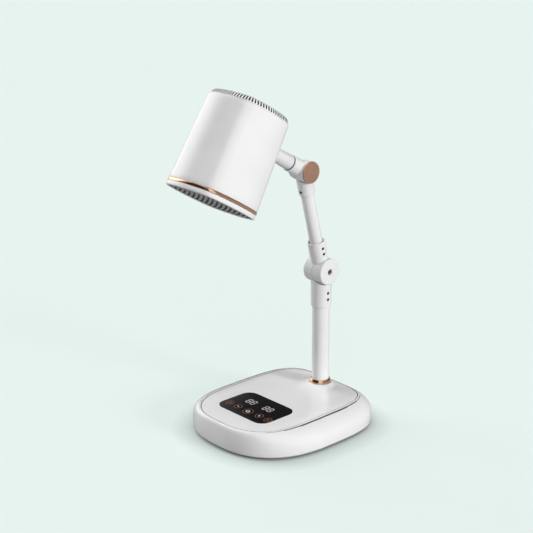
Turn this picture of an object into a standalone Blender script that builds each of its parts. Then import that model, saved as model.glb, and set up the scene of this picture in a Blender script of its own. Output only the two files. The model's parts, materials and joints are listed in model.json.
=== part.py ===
"""Desk-standing warm-air dryer: a weighted base with a glass touch panel, a swivelling post,
a two-knuckle arm and a rounded-square dryer head with its fan, heater and outlet grille.

Metres, +Z up. The origin is the middle of the base's footprint on the desk, and the user
sits on the -Y side. Lengths are written in millimetres and multiplied by MM.
"""

import math

import bmesh
import bpy
from mathutils import Euler, Vector

MM = 0.001
GAP = 0.3 * MM  # clearance between two pieces that touch

# Base. Each outline level: height, half width, widest y, front y, front power, back y, back power.
BASE_LEVELS = (
    (3.0, 93.0, 0.0, -103.0, 2.5, 101.0, 3.6),
    (5.0, 94.6, 0.0, -104.6, 2.5, 102.5, 3.6),
    (14.0, 94.6, -2.0, -105.6, 2.5, 102.5, 3.7),
    (20.0, 93.2, -5.0, -105.3, 2.5, 102.0, 3.8),
    (25.0, 89.6, -9.0, -104.6, 2.55, 99.8, 4.1),
    (29.2, 83.8, -13.0, -103.0, 2.6, 96.8, 4.4),
    (31.8, 77.5, -17.0, -101.0, 2.65, 93.8, 4.7),
    (33.2, 71.4, -20.0, -98.6, 2.75, 91.0, 5.0),
)
BASE_POINTS = 44
BASE_TOP = 33.2 * MM
SHELL_WALL = 2.6 * MM
PANEL_THICKNESS = 2.5 * MM
PAD_THICKNESS = 2.7 * MM
BOTTOM_PLATE = (3.2 * MM, 5.4 * MM)  # low and high face
SCREW_PLACES = ((-58, -54), (58, -54), (-58, 58), (58, 58))

# Touch panel.
GLASS_SIZE = (86.2 * MM, 58.8 * MM)
GLASS_CORNER = 14 * MM
GLASS_Y = -39.6 * MM
GLASS_THICKNESS = 1.6 * MM

# Post and arm.
POST_Y = 71.8 * MM
POST_RADIUS = 11 * MM
ELBOW_Z = 187.1 * MM
ARM_RADIUS = 8 * MM
ARM_LENGTH = 137 * MM
ARM_LEAN = math.radians(14)
ELBOW_RADIUS = 16.8 * MM
ELBOW_HALF = 15.7 * MM
KNUCKLE_RADIUS = 13.2 * MM
KNUCKLE_HALF = 13.2 * MM
FAR_RADIUS = 12 * MM
FAR_HALF = 11 * MM
COLLAR_CLEARANCE = 12.8 * MM  # the collar is cut back to this, so that it passes the ferrule

# Neck and head.
HEAD_TILT = math.radians(31.2)
NECK_LENGTH = 118.5 * MM  # knuckle axis to head axis
COLLAR_LENGTH = 26 * MM
HEAD_TOP = 29.3 * MM  # above the neck's axis, along the head's axis
HEAD_OUTLET = -85.6 * MM
HALF_TOP = 43.8 * MM
HALF_OUTLET = 48.2 * MM
SIDE_BULGE = 2.0  # radius of a side's arc, over the half width
CORNER = 0.42  # radius of a corner, over the half width
HEAD_WALL = 2.4 * MM
BEZEL_WALL = 2.5 * MM
GRILLE_WALL = 1.8 * MM
TRIM_TOP = -76.4 * MM
TRIM_BOTTOM = -79.8 * MM
SLOTS = 20
SLATS = 14
SLAT_PITCH = 6.3 * MM
SLAT_ANGLE = math.radians(-42)  # from the head's x axis
AIRWAY_RADIUS = 35.5 * MM
FAN_BLADES = 7
BLADE_PITCH = math.radians(35)
COIL_HEIGHTS = (-24, -36, -48)

bpy.context.scene.unit_settings.system = "METRIC"
for old in list(bpy.data.objects):
    bpy.data.objects.remove(old, do_unlink=True)

parts = bpy.data.collections.new("warm_air_dryer")
cutters = bpy.data.collections.new("cutters")
guides = bpy.data.collections.new("axes")
for collection in (parts, cutters, guides):
    bpy.context.scene.collection.children.link(collection)


# ---------------------------------------------------------------- materials

def material(name, color, roughness, metallic=0.0):
    made = bpy.data.materials.new(name)
    made.use_nodes = True
    shader = made.node_tree.nodes["Principled BSDF"]
    shader.inputs["Base Color"].default_value = (*color, 1)
    shader.inputs["Roughness"].default_value = roughness
    shader.inputs["Metallic"].default_value = metallic
    made.diffuse_color = (*color, 1)
    return made


WHITE = material("gloss_white", (0.86, 0.86, 0.87), 0.25)
ROSE = material("rose_gold", (0.83, 0.52, 0.36), 0.15, 1.0)
BRONZE = material("brushed_bronze", (0.45, 0.28, 0.18), 0.4, 1.0)
GLASS = material("black_glass", (0.01, 0.01, 0.012), 0.08)
BLACK = material("black_plastic", (0.03, 0.03, 0.033), 0.5)
DARK = material("dark_grey_plastic", (0.12, 0.12, 0.13), 0.5)
RUBBER = material("black_rubber", (0.02, 0.02, 0.02), 0.8)
STEEL = material("steel", (0.6, 0.6, 0.61), 0.3, 1.0)
IRON = material("cast_iron", (0.14, 0.14, 0.15), 0.7, 0.6)
BOARD = material("circuit_board", (0.03, 0.2, 0.08), 0.5)
BRASS = material("brass", (0.75, 0.55, 0.25), 0.3, 1.0)
MICA = material("mica", (0.66, 0.6, 0.47), 0.6)
NYLON = material("nylon", (0.7, 0.7, 0.68), 0.5)


# ---------------------------------------------------------------- frames

def axis_empty(name, parent, location, tilt=0.0):
    empty = bpy.data.objects.new(name, None)
    empty.empty_display_size = 20 * MM
    empty.parent = parent
    empty.location = location
    empty.rotation_euler = (tilt, 0, 0)
    guides.objects.link(empty)
    return empty


post_axis = axis_empty("post_axis", None, (0, POST_Y, 0))
elbow_post = axis_empty("elbow_post_side", post_axis, (0, 0, ELBOW_Z))
elbow_axis = axis_empty("elbow_axis", elbow_post, (0, 0, 0), ARM_LEAN)
knuckle_arm = axis_empty("knuckle_arm_side", elbow_axis, (0, 0, ARM_LENGTH))
neck_axis = axis_empty("neck_axis", knuckle_arm, (0, 0, 0), math.pi / 2 - HEAD_TILT - ARM_LEAN)
head_axis = axis_empty("head_axis", neck_axis, (0, 0, NECK_LENGTH), -math.pi / 2)


# ---------------------------------------------------------------- shape tools

def place(name, mesh, paint, frame=None, at=(0, 0, 0), turn=(0, 0, 0)):
    """Put a finished mesh in the scene as one part."""
    obj = bpy.data.objects.new(name, mesh)
    mesh.materials.append(paint)
    obj.parent = frame
    obj.location = at
    obj.rotation_euler = turn
    parts.objects.link(obj)
    return obj


def smooth(obj, angle=35):
    obj.data.shade_smooth()
    obj.data.set_sharp_from_angle(angle=math.radians(angle))
    return obj


def as_cutter(obj):
    parts.objects.unlink(obj)
    cutters.objects.link(obj)
    obj.hide_render = True
    obj.display_type = "WIRE"
    return obj


def combine(obj, other, operation):
    cut = obj.modifiers.new(operation.lower(), "BOOLEAN")
    cut.operation = operation
    cut.solver = "EXACT"
    cut.object = as_cutter(other)


def cut_away(obj, *others):
    for other in others:
        combine(obj, other, "DIFFERENCE")
    return obj


def join_with(obj, *others):
    for other in others:
        combine(obj, other, "UNION")
    return obj


def turned(name, profile, paint, frame=None, at=(0, 0, 0), turn=(0, 0, 0), steps=24):
    """Turn a profile of (radius, height), in millimetres, about the piece's own z axis.

    The profile runs down the outer side. One that doesn't end on the axis is a ring.
    """
    ring = profile[0][0] > 0
    mesh = bpy.data.meshes.new(name)
    edges = [(i, i + 1) for i in range(len(profile) - 1)]
    if ring:
        edges.append((len(profile) - 1, 0))
    mesh.from_pydata([(r * MM, 0, z * MM) for r, z in profile], edges, [])
    obj = place(name, mesh, paint, frame, at, turn)
    screw = obj.modifiers.new("turn", "SCREW")
    screw.steps = screw.render_steps = steps
    screw.use_merge_vertices = True
    screw.merge_threshold = 0.00001
    screw.use_smooth_shade = True
    return obj


def disc(name, radius, low, high, paint, frame=None, at=(0, 0, 0), turn=(0, 0, 0), steps=20):
    profile = ((0, high), (radius, high), (radius, low), (0, low))
    return turned(name, profile, paint, frame, at, turn, steps)


def tube(name, radius, bore, low, high, paint, frame=None, at=(0, 0, 0), turn=(0, 0, 0), steps=24):
    profile = ((radius, high), (radius, low), (bore, low), (bore, high))
    return turned(name, profile, paint, frame, at, turn, steps)


def box(name, size, paint, frame=None, at=(0, 0, 0), turn=(0, 0, 0)):
    mesh = bpy.data.meshes.new(name)
    cage = bmesh.new()
    bmesh.ops.create_cube(cage, size=1)
    bmesh.ops.scale(cage, vec=Vector(size) * MM, verts=cage.verts)
    cage.to_mesh(mesh)
    cage.free()
    return place(name, mesh, paint, frame, at, turn)


def loft(name, rings, paint, closed_loop=False, frame=None, at=(0, 0, 0), turn=(0, 0, 0)):
    """Bridge rings of equal count. A closed loop is a ring-shaped wall; otherwise the ends are capped."""
    mesh = bpy.data.meshes.new(name)
    cage = bmesh.new()
    rows = [[cage.verts.new(point) for point in ring] for ring in rings]
    count = len(rows[0])
    pairs = list(zip(rows, rows[1:]))
    if closed_loop:
        pairs.append((rows[-1], rows[0]))
    for row, after in pairs:
        for i in range(count):
            j = (i + 1) % count
            cage.faces.new((row[i], row[j], after[j], after[i]))
    if not closed_loop:
        cage.faces.new(rows[0])
        cage.faces.new(rows[-1])
    bmesh.ops.recalc_face_normals(cage, faces=cage.faces)
    cage.to_mesh(mesh)
    cage.free()
    return place(name, mesh, paint, frame, at, turn)


def slab(name, outlines, low, high, paint, frame=None, at=(0, 0, 0)):
    """Fill flat closed outlines, holes included, and extrude them from low to high."""
    curve = bpy.data.curves.new(name, "CURVE")
    curve.dimensions = "2D"
    curve.fill_mode = "BOTH"
    curve.extrude = (high - low) / 2
    for outline in outlines:
        spline = curve.splines.new("POLY")
        spline.points.add(len(outline) - 1)
        spline.use_cyclic_u = True
        for point, (x, y) in zip(spline.points, outline):
            point.co = (x, y, 0, 1)
    sketch = bpy.data.objects.new(name + "_sketch", curve)
    guides.objects.link(sketch)
    graph = bpy.context.evaluated_depsgraph_get()
    graph.update()
    mesh = bpy.data.meshes.new_from_object(sketch.evaluated_get(graph))
    mesh.name = name
    mesh.materials.clear()
    cage = bmesh.new()
    cage.from_mesh(mesh)
    bmesh.ops.remove_doubles(cage, verts=cage.verts, dist=0.00001)
    bmesh.ops.translate(cage, vec=(0, 0, (low + high) / 2), verts=cage.verts)
    bmesh.ops.recalc_face_normals(cage, faces=cage.faces)
    cage.to_mesh(mesh)
    cage.free()
    bpy.data.objects.remove(sketch, do_unlink=True)
    return place(name, mesh, paint, frame, at)


def circle_outline(radius, x=0.0, y=0.0, count=20):
    turns = [2 * math.pi * i / count for i in range(count)]
    return [(x + radius * math.cos(a), y + radius * math.sin(a)) for a in turns]


def rounded_outline(width, depth, corner, x=0.0, y=0.0, steps=6):
    points = []
    for quarter, (side_x, side_y) in enumerate(((1, 1), (-1, 1), (-1, -1), (1, -1))):
        for step in range(steps + 1):
            a = (quarter + step / steps) * math.pi / 2
            points.append((
                x + side_x * (width / 2 - corner) + corner * math.cos(a),
                y + side_y * (depth / 2 - corner) + corner * math.sin(a),
            ))
    return points


def base_outline(level, inset=0.0):
    """The base's plan at one level, as two superellipse halves that meet at the widest line."""
    _, half, widest, front, front_power, back, back_power = level
    points = []
    for i in range(BASE_POINTS):
        a = 2 * math.pi * i / BASE_POINTS
        c, s = math.cos(a), math.sin(a)
        power = back_power if s >= 0 else front_power
        length = (back - widest if s >= 0 else widest - front) * MM - inset
        reach = (abs(c) ** power + abs(s) ** power) ** (-1 / power)
        points.append(((half * MM - inset) * reach * c, widest * MM + length * reach * s))
    return points


def base_ring(level, height, inset=0.0):
    return [(x, y, height) for x, y in base_outline(level, inset)]


def head_half(z):
    """Half width of the head's tapered section at a height along its axis."""
    share = (z - HEAD_OUTLET) / (HEAD_TOP - HEAD_OUTLET)
    return HALF_OUTLET + (HALF_TOP - HALF_OUTLET) * share


def head_outline(half, count=40):
    """Rounded square with bulged sides: four wide arcs joined by four tight ones."""
    b = SIDE_BULGE - 1
    q = (-b + math.sqrt(2 * (SIDE_BULGE - CORNER) ** 2 - b * b)) / 2
    switch = math.atan2(q, q + b)
    points = []
    for i in range(count):
        around = 2 * math.pi * i / count
        side = math.floor(around / (math.pi / 2) + 0.5)
        a = around - side * math.pi / 2
        if abs(a) <= switch:
            x, y = -b + SIDE_BULGE * math.cos(a), SIDE_BULGE * math.sin(a)
        else:
            x, y = q + CORNER * math.cos(a), math.copysign(q, a) + CORNER * math.sin(a)
        turn = side * math.pi / 2
        points.append((
            half * (x * math.cos(turn) - y * math.sin(turn)),
            half * (x * math.sin(turn) + y * math.cos(turn)),
        ))
    return points


def chord(outline, angle, offset):
    """Where a line at an angle, this far to its left of the middle, crosses a closed outline."""
    c, s = math.cos(angle), math.sin(angle)
    turned_points = [(x * c + y * s, -x * s + y * c) for x, y in outline]
    crossings = []
    for (u1, v1), (u2, v2) in zip(turned_points, turned_points[1:] + turned_points[:1]):
        if (v1 - offset) * (v2 - offset) < 0:
            crossings.append(u1 + (u2 - u1) * (offset - v1) / (v2 - v1))
    return min(crossings), max(crossings)


def head_ring(z, inset=0.0):
    return [(x, y, z) for x, y in head_outline(head_half(z) - inset)]


ALONG_X = (0, math.pi / 2, 0)  # turns a piece's z axis to +X
ALONG_MINUS_X = (0, -math.pi / 2, 0)
DOWN = (math.pi, 0, 0)


# ---------------------------------------------------------------- base

def make_base_shell():
    top = BASE_LEVELS[-1]
    rings = [base_ring(level, level[0] * MM) for level in BASE_LEVELS]
    seat = 4 * MM  # ledge that carries the top panel
    under_panel = BASE_TOP - PANEL_THICKNESS - GAP
    rings.append(base_ring(top, BASE_TOP, 0.2 * MM))
    rings.append(base_ring(top, under_panel, 0.2 * MM))
    rings.append(base_ring(top, under_panel, seat))
    rings.append(base_ring(top, under_panel - 2.2 * MM, seat))
    rings.append(base_ring(BASE_LEVELS[4], 25 * MM, 4.5 * MM))
    rings.append(base_ring(BASE_LEVELS[2], 14 * MM, SHELL_WALL))
    rings.append(base_ring(BASE_LEVELS[0], 3 * MM, SHELL_WALL))
    shell = loft("base_shell", rings, WHITE, closed_loop=True)
    inlet_hole = box("inlet_hole", (20.8, 14, 12.8), BLACK, at=(0, 101 * MM, 15 * MM))
    cut_away(shell, inlet_hole)
    return smooth(shell)


def make_top_panel():
    top = BASE_LEVELS[-1]
    low = BASE_TOP - PANEL_THICKNESS
    plate = loft("top_panel", [base_ring(top, z, 0.6 * MM) for z in (low, BASE_TOP)], WHITE)
    # Flared boss round the post: circles that shrink and slide back onto the post's axis.
    flare = ((31, -13, 33.0), (30, -12, 33.2), (25.5, -8.5, 33.6), (21, -4.5, 34.4),
             (17.6, -1.4, 35.5), (15.6, 0, 36.6), (13.5, 0, 36.6))
    rings = [[(x, POST_Y + y, z * MM) for x, y in circle_outline(r * MM, 0, shift * MM, 28)]
             for r, shift, z in flare]
    rings.insert(0, [(x, POST_Y + y, low) for x, y in circle_outline(17.5 * MM, 0, 0, 28)])
    boss = loft("post_boss", rings, WHITE)
    join_with(plate, boss)
    for number, (x, y) in enumerate(SCREW_PLACES, 1):
        column = tube(f"screw_column_{number}", 4.5, 1.8, 6.0, 31.5, WHITE,
                      at=(x * MM, y * MM, 0), steps=12)
        join_with(plate, column)
    window = slab("glass_window", [rounded_outline(80 * MM, 52 * MM, 11 * MM, 0, GLASS_Y, 3)],
                  low - MM, BASE_TOP + MM, WHITE)
    width, depth = GLASS_SIZE
    pocket = slab("glass_pocket",
                  [rounded_outline(width + 2 * GAP, depth + 2 * GAP, GLASS_CORNER, 0, GLASS_Y, 6)],
                  BASE_TOP - GLASS_THICKNESS, BASE_TOP + MM, WHITE)
    passage = disc("post_passage", 11.6, 25, 45, WHITE, at=(0, POST_Y, 0), steps=32)
    ring_seat = disc("ring_seat", 13.45, 35.2, 45, WHITE, at=(0, POST_Y, 0), steps=32)
    cut_away(plate, window, pocket, passage, ring_seat)
    return smooth(plate)


def make_touch_panel():
    width, depth = GLASS_SIZE
    low = BASE_TOP - GLASS_THICKNESS + 0.25 * MM
    slab("touch_glass", [rounded_outline(width, depth, GLASS_CORNER - 0.2 * MM, 0, GLASS_Y, 6)],
         low, BASE_TOP + 0.2 * MM, GLASS)
    for side, x in (("left", -15.5), ("right", 15.5)):
        box(f"display_{side}", (26, 14, 2.4), DARK, at=(x * MM, GLASS_Y + 7.5 * MM, 30.2 * MM))
    box("control_board", (78, 50, 1.6), BOARD, at=(0, GLASS_Y, 27.8 * MM))
    disc("buzzer", 5, 22.4, 26.7, BLACK, at=(28 * MM, GLASS_Y - 12 * MM, 0), steps=20)


def make_bottom():
    low, high = BOTTOM_PLATE
    floor = BASE_LEVELS[0]
    plate = slab("bottom_plate", [base_outline(floor, SHELL_WALL + 0.5 * MM)], low, high, BLACK)
    for number, (x, y) in enumerate(SCREW_PLACES, 1):
        at = (x * MM, y * MM, 0)
        sink = turned(f"screw_sink_{number}", ((0, 6), (1.9, 6), (1.9, 4.5), (3.5, 4.5),
                      (3.5, 2.5), (0, 2.5)), STEEL, at=at, steps=12)
        cut_away(plate, sink)
        turned(f"base_screw_{number}", ((0, 18), (1.45, 18), (1.45, 4.2), (3.1, 4.2),
               (3.1, 3.2), (0, 3.2)), STEEL, at=at, steps=12)
    slab("foot_pad", [base_outline(floor, 5 * MM)], 0, PAD_THICKNESS, RUBBER)
    weight = slab("counterweight", [rounded_outline(100 * MM, 136 * MM, 22 * MM, 0, 18 * MM, 5)],
                  5.8 * MM, 15 * MM, IRON)
    bolt_sink = turned("bolt_sink", ((0, 16), (2.8, 16), (2.8, 10.8), (5, 10.8), (5, 5), (0, 5)),
                       IRON, at=(0, POST_Y, 0), steps=20)
    cut_away(weight, bolt_sink)


def make_power():
    box("power_board", (56, 34, 1.6), BOARD, at=(0, 30 * MM, 19.2 * MM))
    box("power_transformer", (22, 20, 9), DARK, at=(14 * MM, 30 * MM, 24.9 * MM))
    inlet = box("power_inlet", (20, 12.6, 12), BLACK, at=(0, 95.7 * MM, 15 * MM))
    socket = slab("socket", [rounded_outline(16 * MM, 8 * MM, 4 * MM, 0, 0, 5)],
                  0, 12 * MM, BLACK)
    socket.location = (0, 103.5 * MM, 15 * MM)
    socket.rotation_euler = (math.pi / 2, 0, 0)
    cut_away(inlet, socket)
    for side, x in (("left", -4.4), ("right", 4.4)):
        disc(f"inlet_pin_{side}", 1.2, 0, 8, BRASS, at=(x * MM, 91.8 * MM, 15 * MM),
             turn=(-math.pi / 2, 0, 0), steps=12)


def make_post_foot():
    at = (0, POST_Y, 0)
    turned("post_socket", ((15.2, 26.5), (15.2, 18.3), (17, 18.3), (17, 15.3), (13.1, 15.3),
           (13.1, 26.5)), STEEL, at=at, steps=28)
    turned("post_bush", ((14.5, 28.2), (14.5, 26.8), (12.8, 26.8), (12.8, 16), (11.35, 16),
           (11.35, 28.2)), NYLON, at=at, steps=28)
    turned("foot_ring", ((12.7, 42.4), (13.1, 41.8), (13.1, 35.5), (11.35, 35.5), (11.35, 42.0),
           (11.7, 42.4)), ROSE, at=at, steps=32)


make_base_shell()
make_top_panel()
make_touch_panel()
make_bottom()
make_power()
make_post_foot()


# ---------------------------------------------------------------- knuckle castings

def half_knuckle(name, frame, turn, side, barrel, sleeve, bore, other_barrel, paint=WHITE):
    """Half a barrel on the x axis with a sleeve along the piece's own +z.

    side is +1 or -1, the half it fills. barrel is (radius, half length), sleeve is
    (radius, length), bore is a list of (radius, floor) steps, and other_barrel is the mate's
    radius. All in metres.
    """
    radius, half = barrel
    sleeve_radius, length = sleeve
    r, h, s, long = (value / MM for value in (radius, half, sleeve_radius, length))
    edge = 1.2
    own_side, far_side = (ALONG_X, ALONG_MINUS_X) if side > 0 else (ALONG_MINUS_X, ALONG_X)
    body = turned(name, ((0, h), (r - edge, h), (r, h - edge), (r, 0), (0, 0)),
                  paint, frame, turn=own_side, steps=28)
    arm = disc(name + "_sleeve", s, 0, long, paint, frame, turn=turn, steps=28)
    mate = disc(name + "_mate", other_barrel / MM + 0.6, -0.3, 30, paint, frame,
                turn=far_side, steps=32)
    bolt = disc(name + "_bolt_hole", 2.8, -40, 40, paint, frame, turn=ALONG_X, steps=20)
    join_with(body, arm)
    cut_away(body, mate, bolt)
    for number, (bore_radius, floor) in enumerate(bore, 1):
        hole = disc(f"{name}_bore_{number}", bore_radius / MM, floor / MM, long + 1, paint, frame,
                    turn=turn, steps=32)
        cut_away(body, hole)
    return smooth(body)


def cross_hole(body, name, frame, at, turn, radius, low, high):
    hole = disc(name, radius, low, high, STEEL, frame, at=at, turn=turn, steps=12)
    cut_away(body, hole)


def washer_recess(body, name, frame, radius, half_thickness):
    recess = disc(name, radius, -half_thickness, half_thickness, STEEL, frame,
                  turn=ALONG_X, steps=32)
    cut_away(body, recess)


def make_post():
    tube("post_tube", POST_RADIUS / MM, 9.5, 16, 166, WHITE, post_axis, steps=32)
    tube("post_plug", 9.2, 2.7, 16.2, 26.2, STEEL, post_axis, steps=24)
    turned("post_bolt", ((0, 25), (2.4, 25), (2.4, 10.4), (4.4, 10.4), (4.4, 6.4), (0, 6.4)),
           STEEL, post_axis, steps=20)
    casting = half_knuckle("lower_knuckle", elbow_post, DOWN, -1, (ELBOW_RADIUS, ELBOW_HALF),
                           (13 * MM, 47 * MM), [(11.3 * MM, 20.8 * MM)], ELBOW_RADIUS)
    for number, drop in enumerate((28.5, 37), 1):
        at = (0, 0, -drop * MM)
        cross_hole(casting, f"lower_screw_hole_{number}", elbow_post, at, ALONG_X, 1.9, 10, 14)
        disc(f"lower_set_screw_{number}", 1.6, 11.3, 12.5, STEEL, elbow_post, at=at,
             turn=ALONG_X, steps=12)
    washer_recess(casting, "lower_washer_recess", elbow_post, 12.5, 0.9)
    cross_hole(casting, "elbow_nut_pocket", elbow_post, (0, 0, 0), ALONG_MINUS_X, 5, 10.2, 17)
    tube("elbow_nut", 4.6, 3.0, 10.5, 14.5, STEEL, elbow_post, turn=ALONG_MINUS_X, steps=6)
    tube("elbow_washer", 12, 3.2, -0.6, 0.6, NYLON, elbow_post, turn=ALONG_X, steps=28)


def make_upper_arm():
    casting = half_knuckle("upper_knuckle", elbow_axis, (0, 0, 0), 1, (ELBOW_RADIUS, ELBOW_HALF),
                           (11 * MM, 41 * MM), [(8.3 * MM, 20.6 * MM), (9.7 * MM, 34.5 * MM)],
                           ELBOW_RADIUS)
    for number, rise in enumerate((24.5, 32), 1):
        at = (0, 0, rise * MM)
        cross_hole(casting, f"upper_screw_hole_{number}", elbow_axis, at, ALONG_X, 1.9, 7.5, 12)
        disc(f"upper_set_screw_{number}", 1.6, 8.3, 10.2, STEEL, elbow_axis, at=at,
             turn=ALONG_X, steps=12)
    washer_recess(casting, "upper_washer_recess", elbow_axis, 12.5, 0.9)
    cross_hole(casting, "elbow_bolt_pocket", elbow_axis, (0, 0, 0), ALONG_X, 3.7, 10.2, 17)
    turned("elbow_bolt", ((0, 13.6), (3.3, 13.6), (3.3, 10.5), (2.3, 10.5), (2.3, -15), (0, -15)),
           STEEL, elbow_axis, turn=ALONG_X, steps=20)
    tube("upper_tube", ARM_RADIUS / MM, 6.6, 21, ARM_LENGTH / MM - 18.2, WHITE, elbow_axis,
         steps=28)

    ferrule = half_knuckle("arm_ferrule", knuckle_arm, DOWN, -1, (FAR_RADIUS, FAR_HALF),
                           (10 * MM, 31 * MM), [(8.3 * MM, 17.6 * MM)], KNUCKLE_RADIUS)
    at = (0, 0, -25.5 * MM)
    facing_user = (math.pi / 2, 0, 0)
    cross_hole(ferrule, "ferrule_screw_hole", knuckle_arm, at, facing_user, 1.9, 7.5, 12)
    disc("ferrule_screw", 1.6, 8.25, 9.5, STEEL, knuckle_arm, at=at, turn=facing_user, steps=12)
    washer_recess(ferrule, "ferrule_washer_recess", knuckle_arm, 8.6, 0.8)
    turned("tilt_far_cap", ((0, 14.3), (10, 14.3), (11, 13.3), (11, 11.3), (3.2, 11.3),
           (3.2, 12.6), (0, 12.6)), WHITE, knuckle_arm, turn=ALONG_MINUS_X, steps=32)
    tube("tilt_washer", 8.2, 3.2, -0.5, 0.5, NYLON, knuckle_arm, turn=ALONG_X, steps=28)


def make_neck():
    casting = half_knuckle("neck_knuckle", neck_axis, (0, 0, 0), 1, (KNUCKLE_RADIUS, KNUCKLE_HALF),
                           (10.5 * MM, COLLAR_LENGTH), [(6.9 * MM, 15 * MM)],
                           COLLAR_CLEARANCE)
    washer_recess(casting, "neck_washer_recess", neck_axis, 8.6, 0.8)
    cross_hole(casting, "tilt_bolt_pocket", neck_axis, (0, 0, 0), ALONG_X, 4.5, 9, 14)
    turned("tilt_bolt", ((0, 12.6), (4.1, 12.6), (4.1, 9.3), (2.3, 9.3), (2.3, -12.2), (0, -12.2)),
           STEEL, neck_axis, turn=ALONG_X, steps=20)
    turned("tilt_cap", ((0, 15.5), (5, 15.5), (5.6, 15.9), (12.7, 15.9), (13.5, 15.2),
           (13.5, 13.5), (0, 13.5)), BRONZE, neck_axis, turn=ALONG_X, steps=32)


# ---------------------------------------------------------------- head

def make_neck_tube():
    tube("neck_seal", 9.6, 7.0, 26.3, 27.2, DARK, neck_axis, steps=32)
    turned("neck_tube", ((8.2, 82), (8.2, 72), (9.4, 27.5), (6.55, 27.5), (6.55, 15.4),
           (4.8, 15.4), (4.8, 82)), WHITE, neck_axis, steps=28)
    tube("neck_nut", 12, 8.6, 77.8, 81, STEEL, neck_axis, steps=28)


def make_head_shell():
    inner_low = TRIM_TOP + GAP
    rings = [
        head_ring(HEAD_TOP, 0.8 * MM),
        head_ring(HEAD_TOP - 1.2 * MM),
        head_ring(inner_low),
        head_ring(inner_low, HEAD_WALL),
        head_ring(HEAD_TOP, HEAD_WALL),
    ]
    shell = loft("head_shell", rings, WHITE, closed_loop=True, frame=head_axis)
    neck_hole = disc("neck_hole", 8.6, 30, 60, WHITE, head_axis, turn=(-math.pi / 2, 0, 0))
    cut_away(shell, neck_hole)
    return smooth(shell)


def make_intake_cap():
    top = HEAD_TOP
    wall = 1.8 * MM
    rings = [
        head_ring(top - 5 * MM, HEAD_WALL + GAP),
        head_ring(top + GAP, HEAD_WALL + GAP),
        head_ring(top + GAP, 1.4 * MM),
        head_ring(top + 1.5 * MM, 1.4 * MM),
        head_ring(top + 6.5 * MM, 4.6 * MM),
        head_ring(top + 7.8 * MM, 7 * MM),
    ]
    inside = [
        head_ring(top - 6 * MM, HEAD_WALL + GAP + wall),
        head_ring(top + 1.5 * MM, HEAD_WALL + GAP + wall),
        head_ring(top + 5 * MM, 6.8 * MM),
        head_ring(top + 5.8 * MM, 9 * MM),
    ]
    cap = loft("intake_cap", rings, WHITE, frame=head_axis)
    cut_away(cap, loft("cap_inside", inside, WHITE, frame=head_axis))
    slot_length, slot_height = 24, 9
    for number in range(SLOTS):
        a = 2 * math.pi * (number + 0.5) / SLOTS
        out = 37 * MM
        slot = box(f"intake_slot_{number}", (slot_length, 2.0, slot_height), WHITE, head_axis,
                   at=(out * math.cos(a), out * math.sin(a), top + 6.6 * MM), turn=(0, 0, a))
        cut_away(cap, slot)
    return smooth(cap)


def make_outlet():
    edge = 0.15 * MM
    loft("trim_ring", [head_ring(TRIM_TOP, -edge), head_ring(TRIM_BOTTOM, -edge),
                       head_ring(TRIM_BOTTOM, HEAD_WALL), head_ring(TRIM_TOP, HEAD_WALL)],
         ROSE, closed_loop=True, frame=head_axis)
    top = TRIM_BOTTOM - GAP
    bezel = loft("outlet_bezel", [
        head_ring(top), head_ring(HEAD_OUTLET + MM), head_ring(HEAD_OUTLET, MM),
        head_ring(HEAD_OUTLET, 1.9 * MM), head_ring(HEAD_OUTLET + MM, BEZEL_WALL),
        head_ring(top, BEZEL_WALL)], WHITE, closed_loop=True, frame=head_axis)
    smooth(bezel)
    low, high = HEAD_OUTLET + 0.9 * MM, HEAD_OUTLET + 7.0 * MM
    outer, inner = BEZEL_WALL + GAP, BEZEL_WALL + GAP + GRILLE_WALL
    frame_ring = [head_ring(low, outer), head_ring(high, outer)]
    wall = [head_ring(high, inner), head_ring(low, inner)]
    grille = loft("outlet_grille", frame_ring + wall, DARK, closed_loop=True, frame=head_axis)
    middle_of_wall = head_outline(head_half(low) - (outer + inner) / 2)
    for number in range(SLATS):
        offset = (number - (SLATS - 1) / 2) * SLAT_PITCH
        start, end = chord(middle_of_wall, SLAT_ANGLE, offset)
        along = (start + end) / 2
        x = along * math.cos(SLAT_ANGLE) - offset * math.sin(SLAT_ANGLE)
        y = along * math.sin(SLAT_ANGLE) + offset * math.cos(SLAT_ANGLE)
        slat = box(f"slat_{number}", ((end - start) / MM, 1.4, 4.4), DARK, head_axis,
                   at=(x, y, low + 2.4 * MM), turn=(0, 0, SLAT_ANGLE))
        join_with(grille, slat)
    rib = box("slat_rib", (84, 1.8, 3.0), DARK, head_axis, at=(0, 0, low + 3.6 * MM),
              turn=(0, 0, SLAT_ANGLE + math.pi / 2))
    join_with(grille, rib)


def ears(name, body, z, inner, outer, paint):
    """Four lugs that hold a round piece in the middle of the head."""
    for number in range(4):
        a = math.pi / 2 * number
        middle = (inner + outer) / 2
        lug = box(f"{name}_{number}", (outer - inner, 8, 3), paint, head_axis,
                  at=(middle * MM * math.cos(a), middle * MM * math.sin(a), z * MM),
                  turn=(0, 0, a))
        join_with(body, lug)


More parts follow.
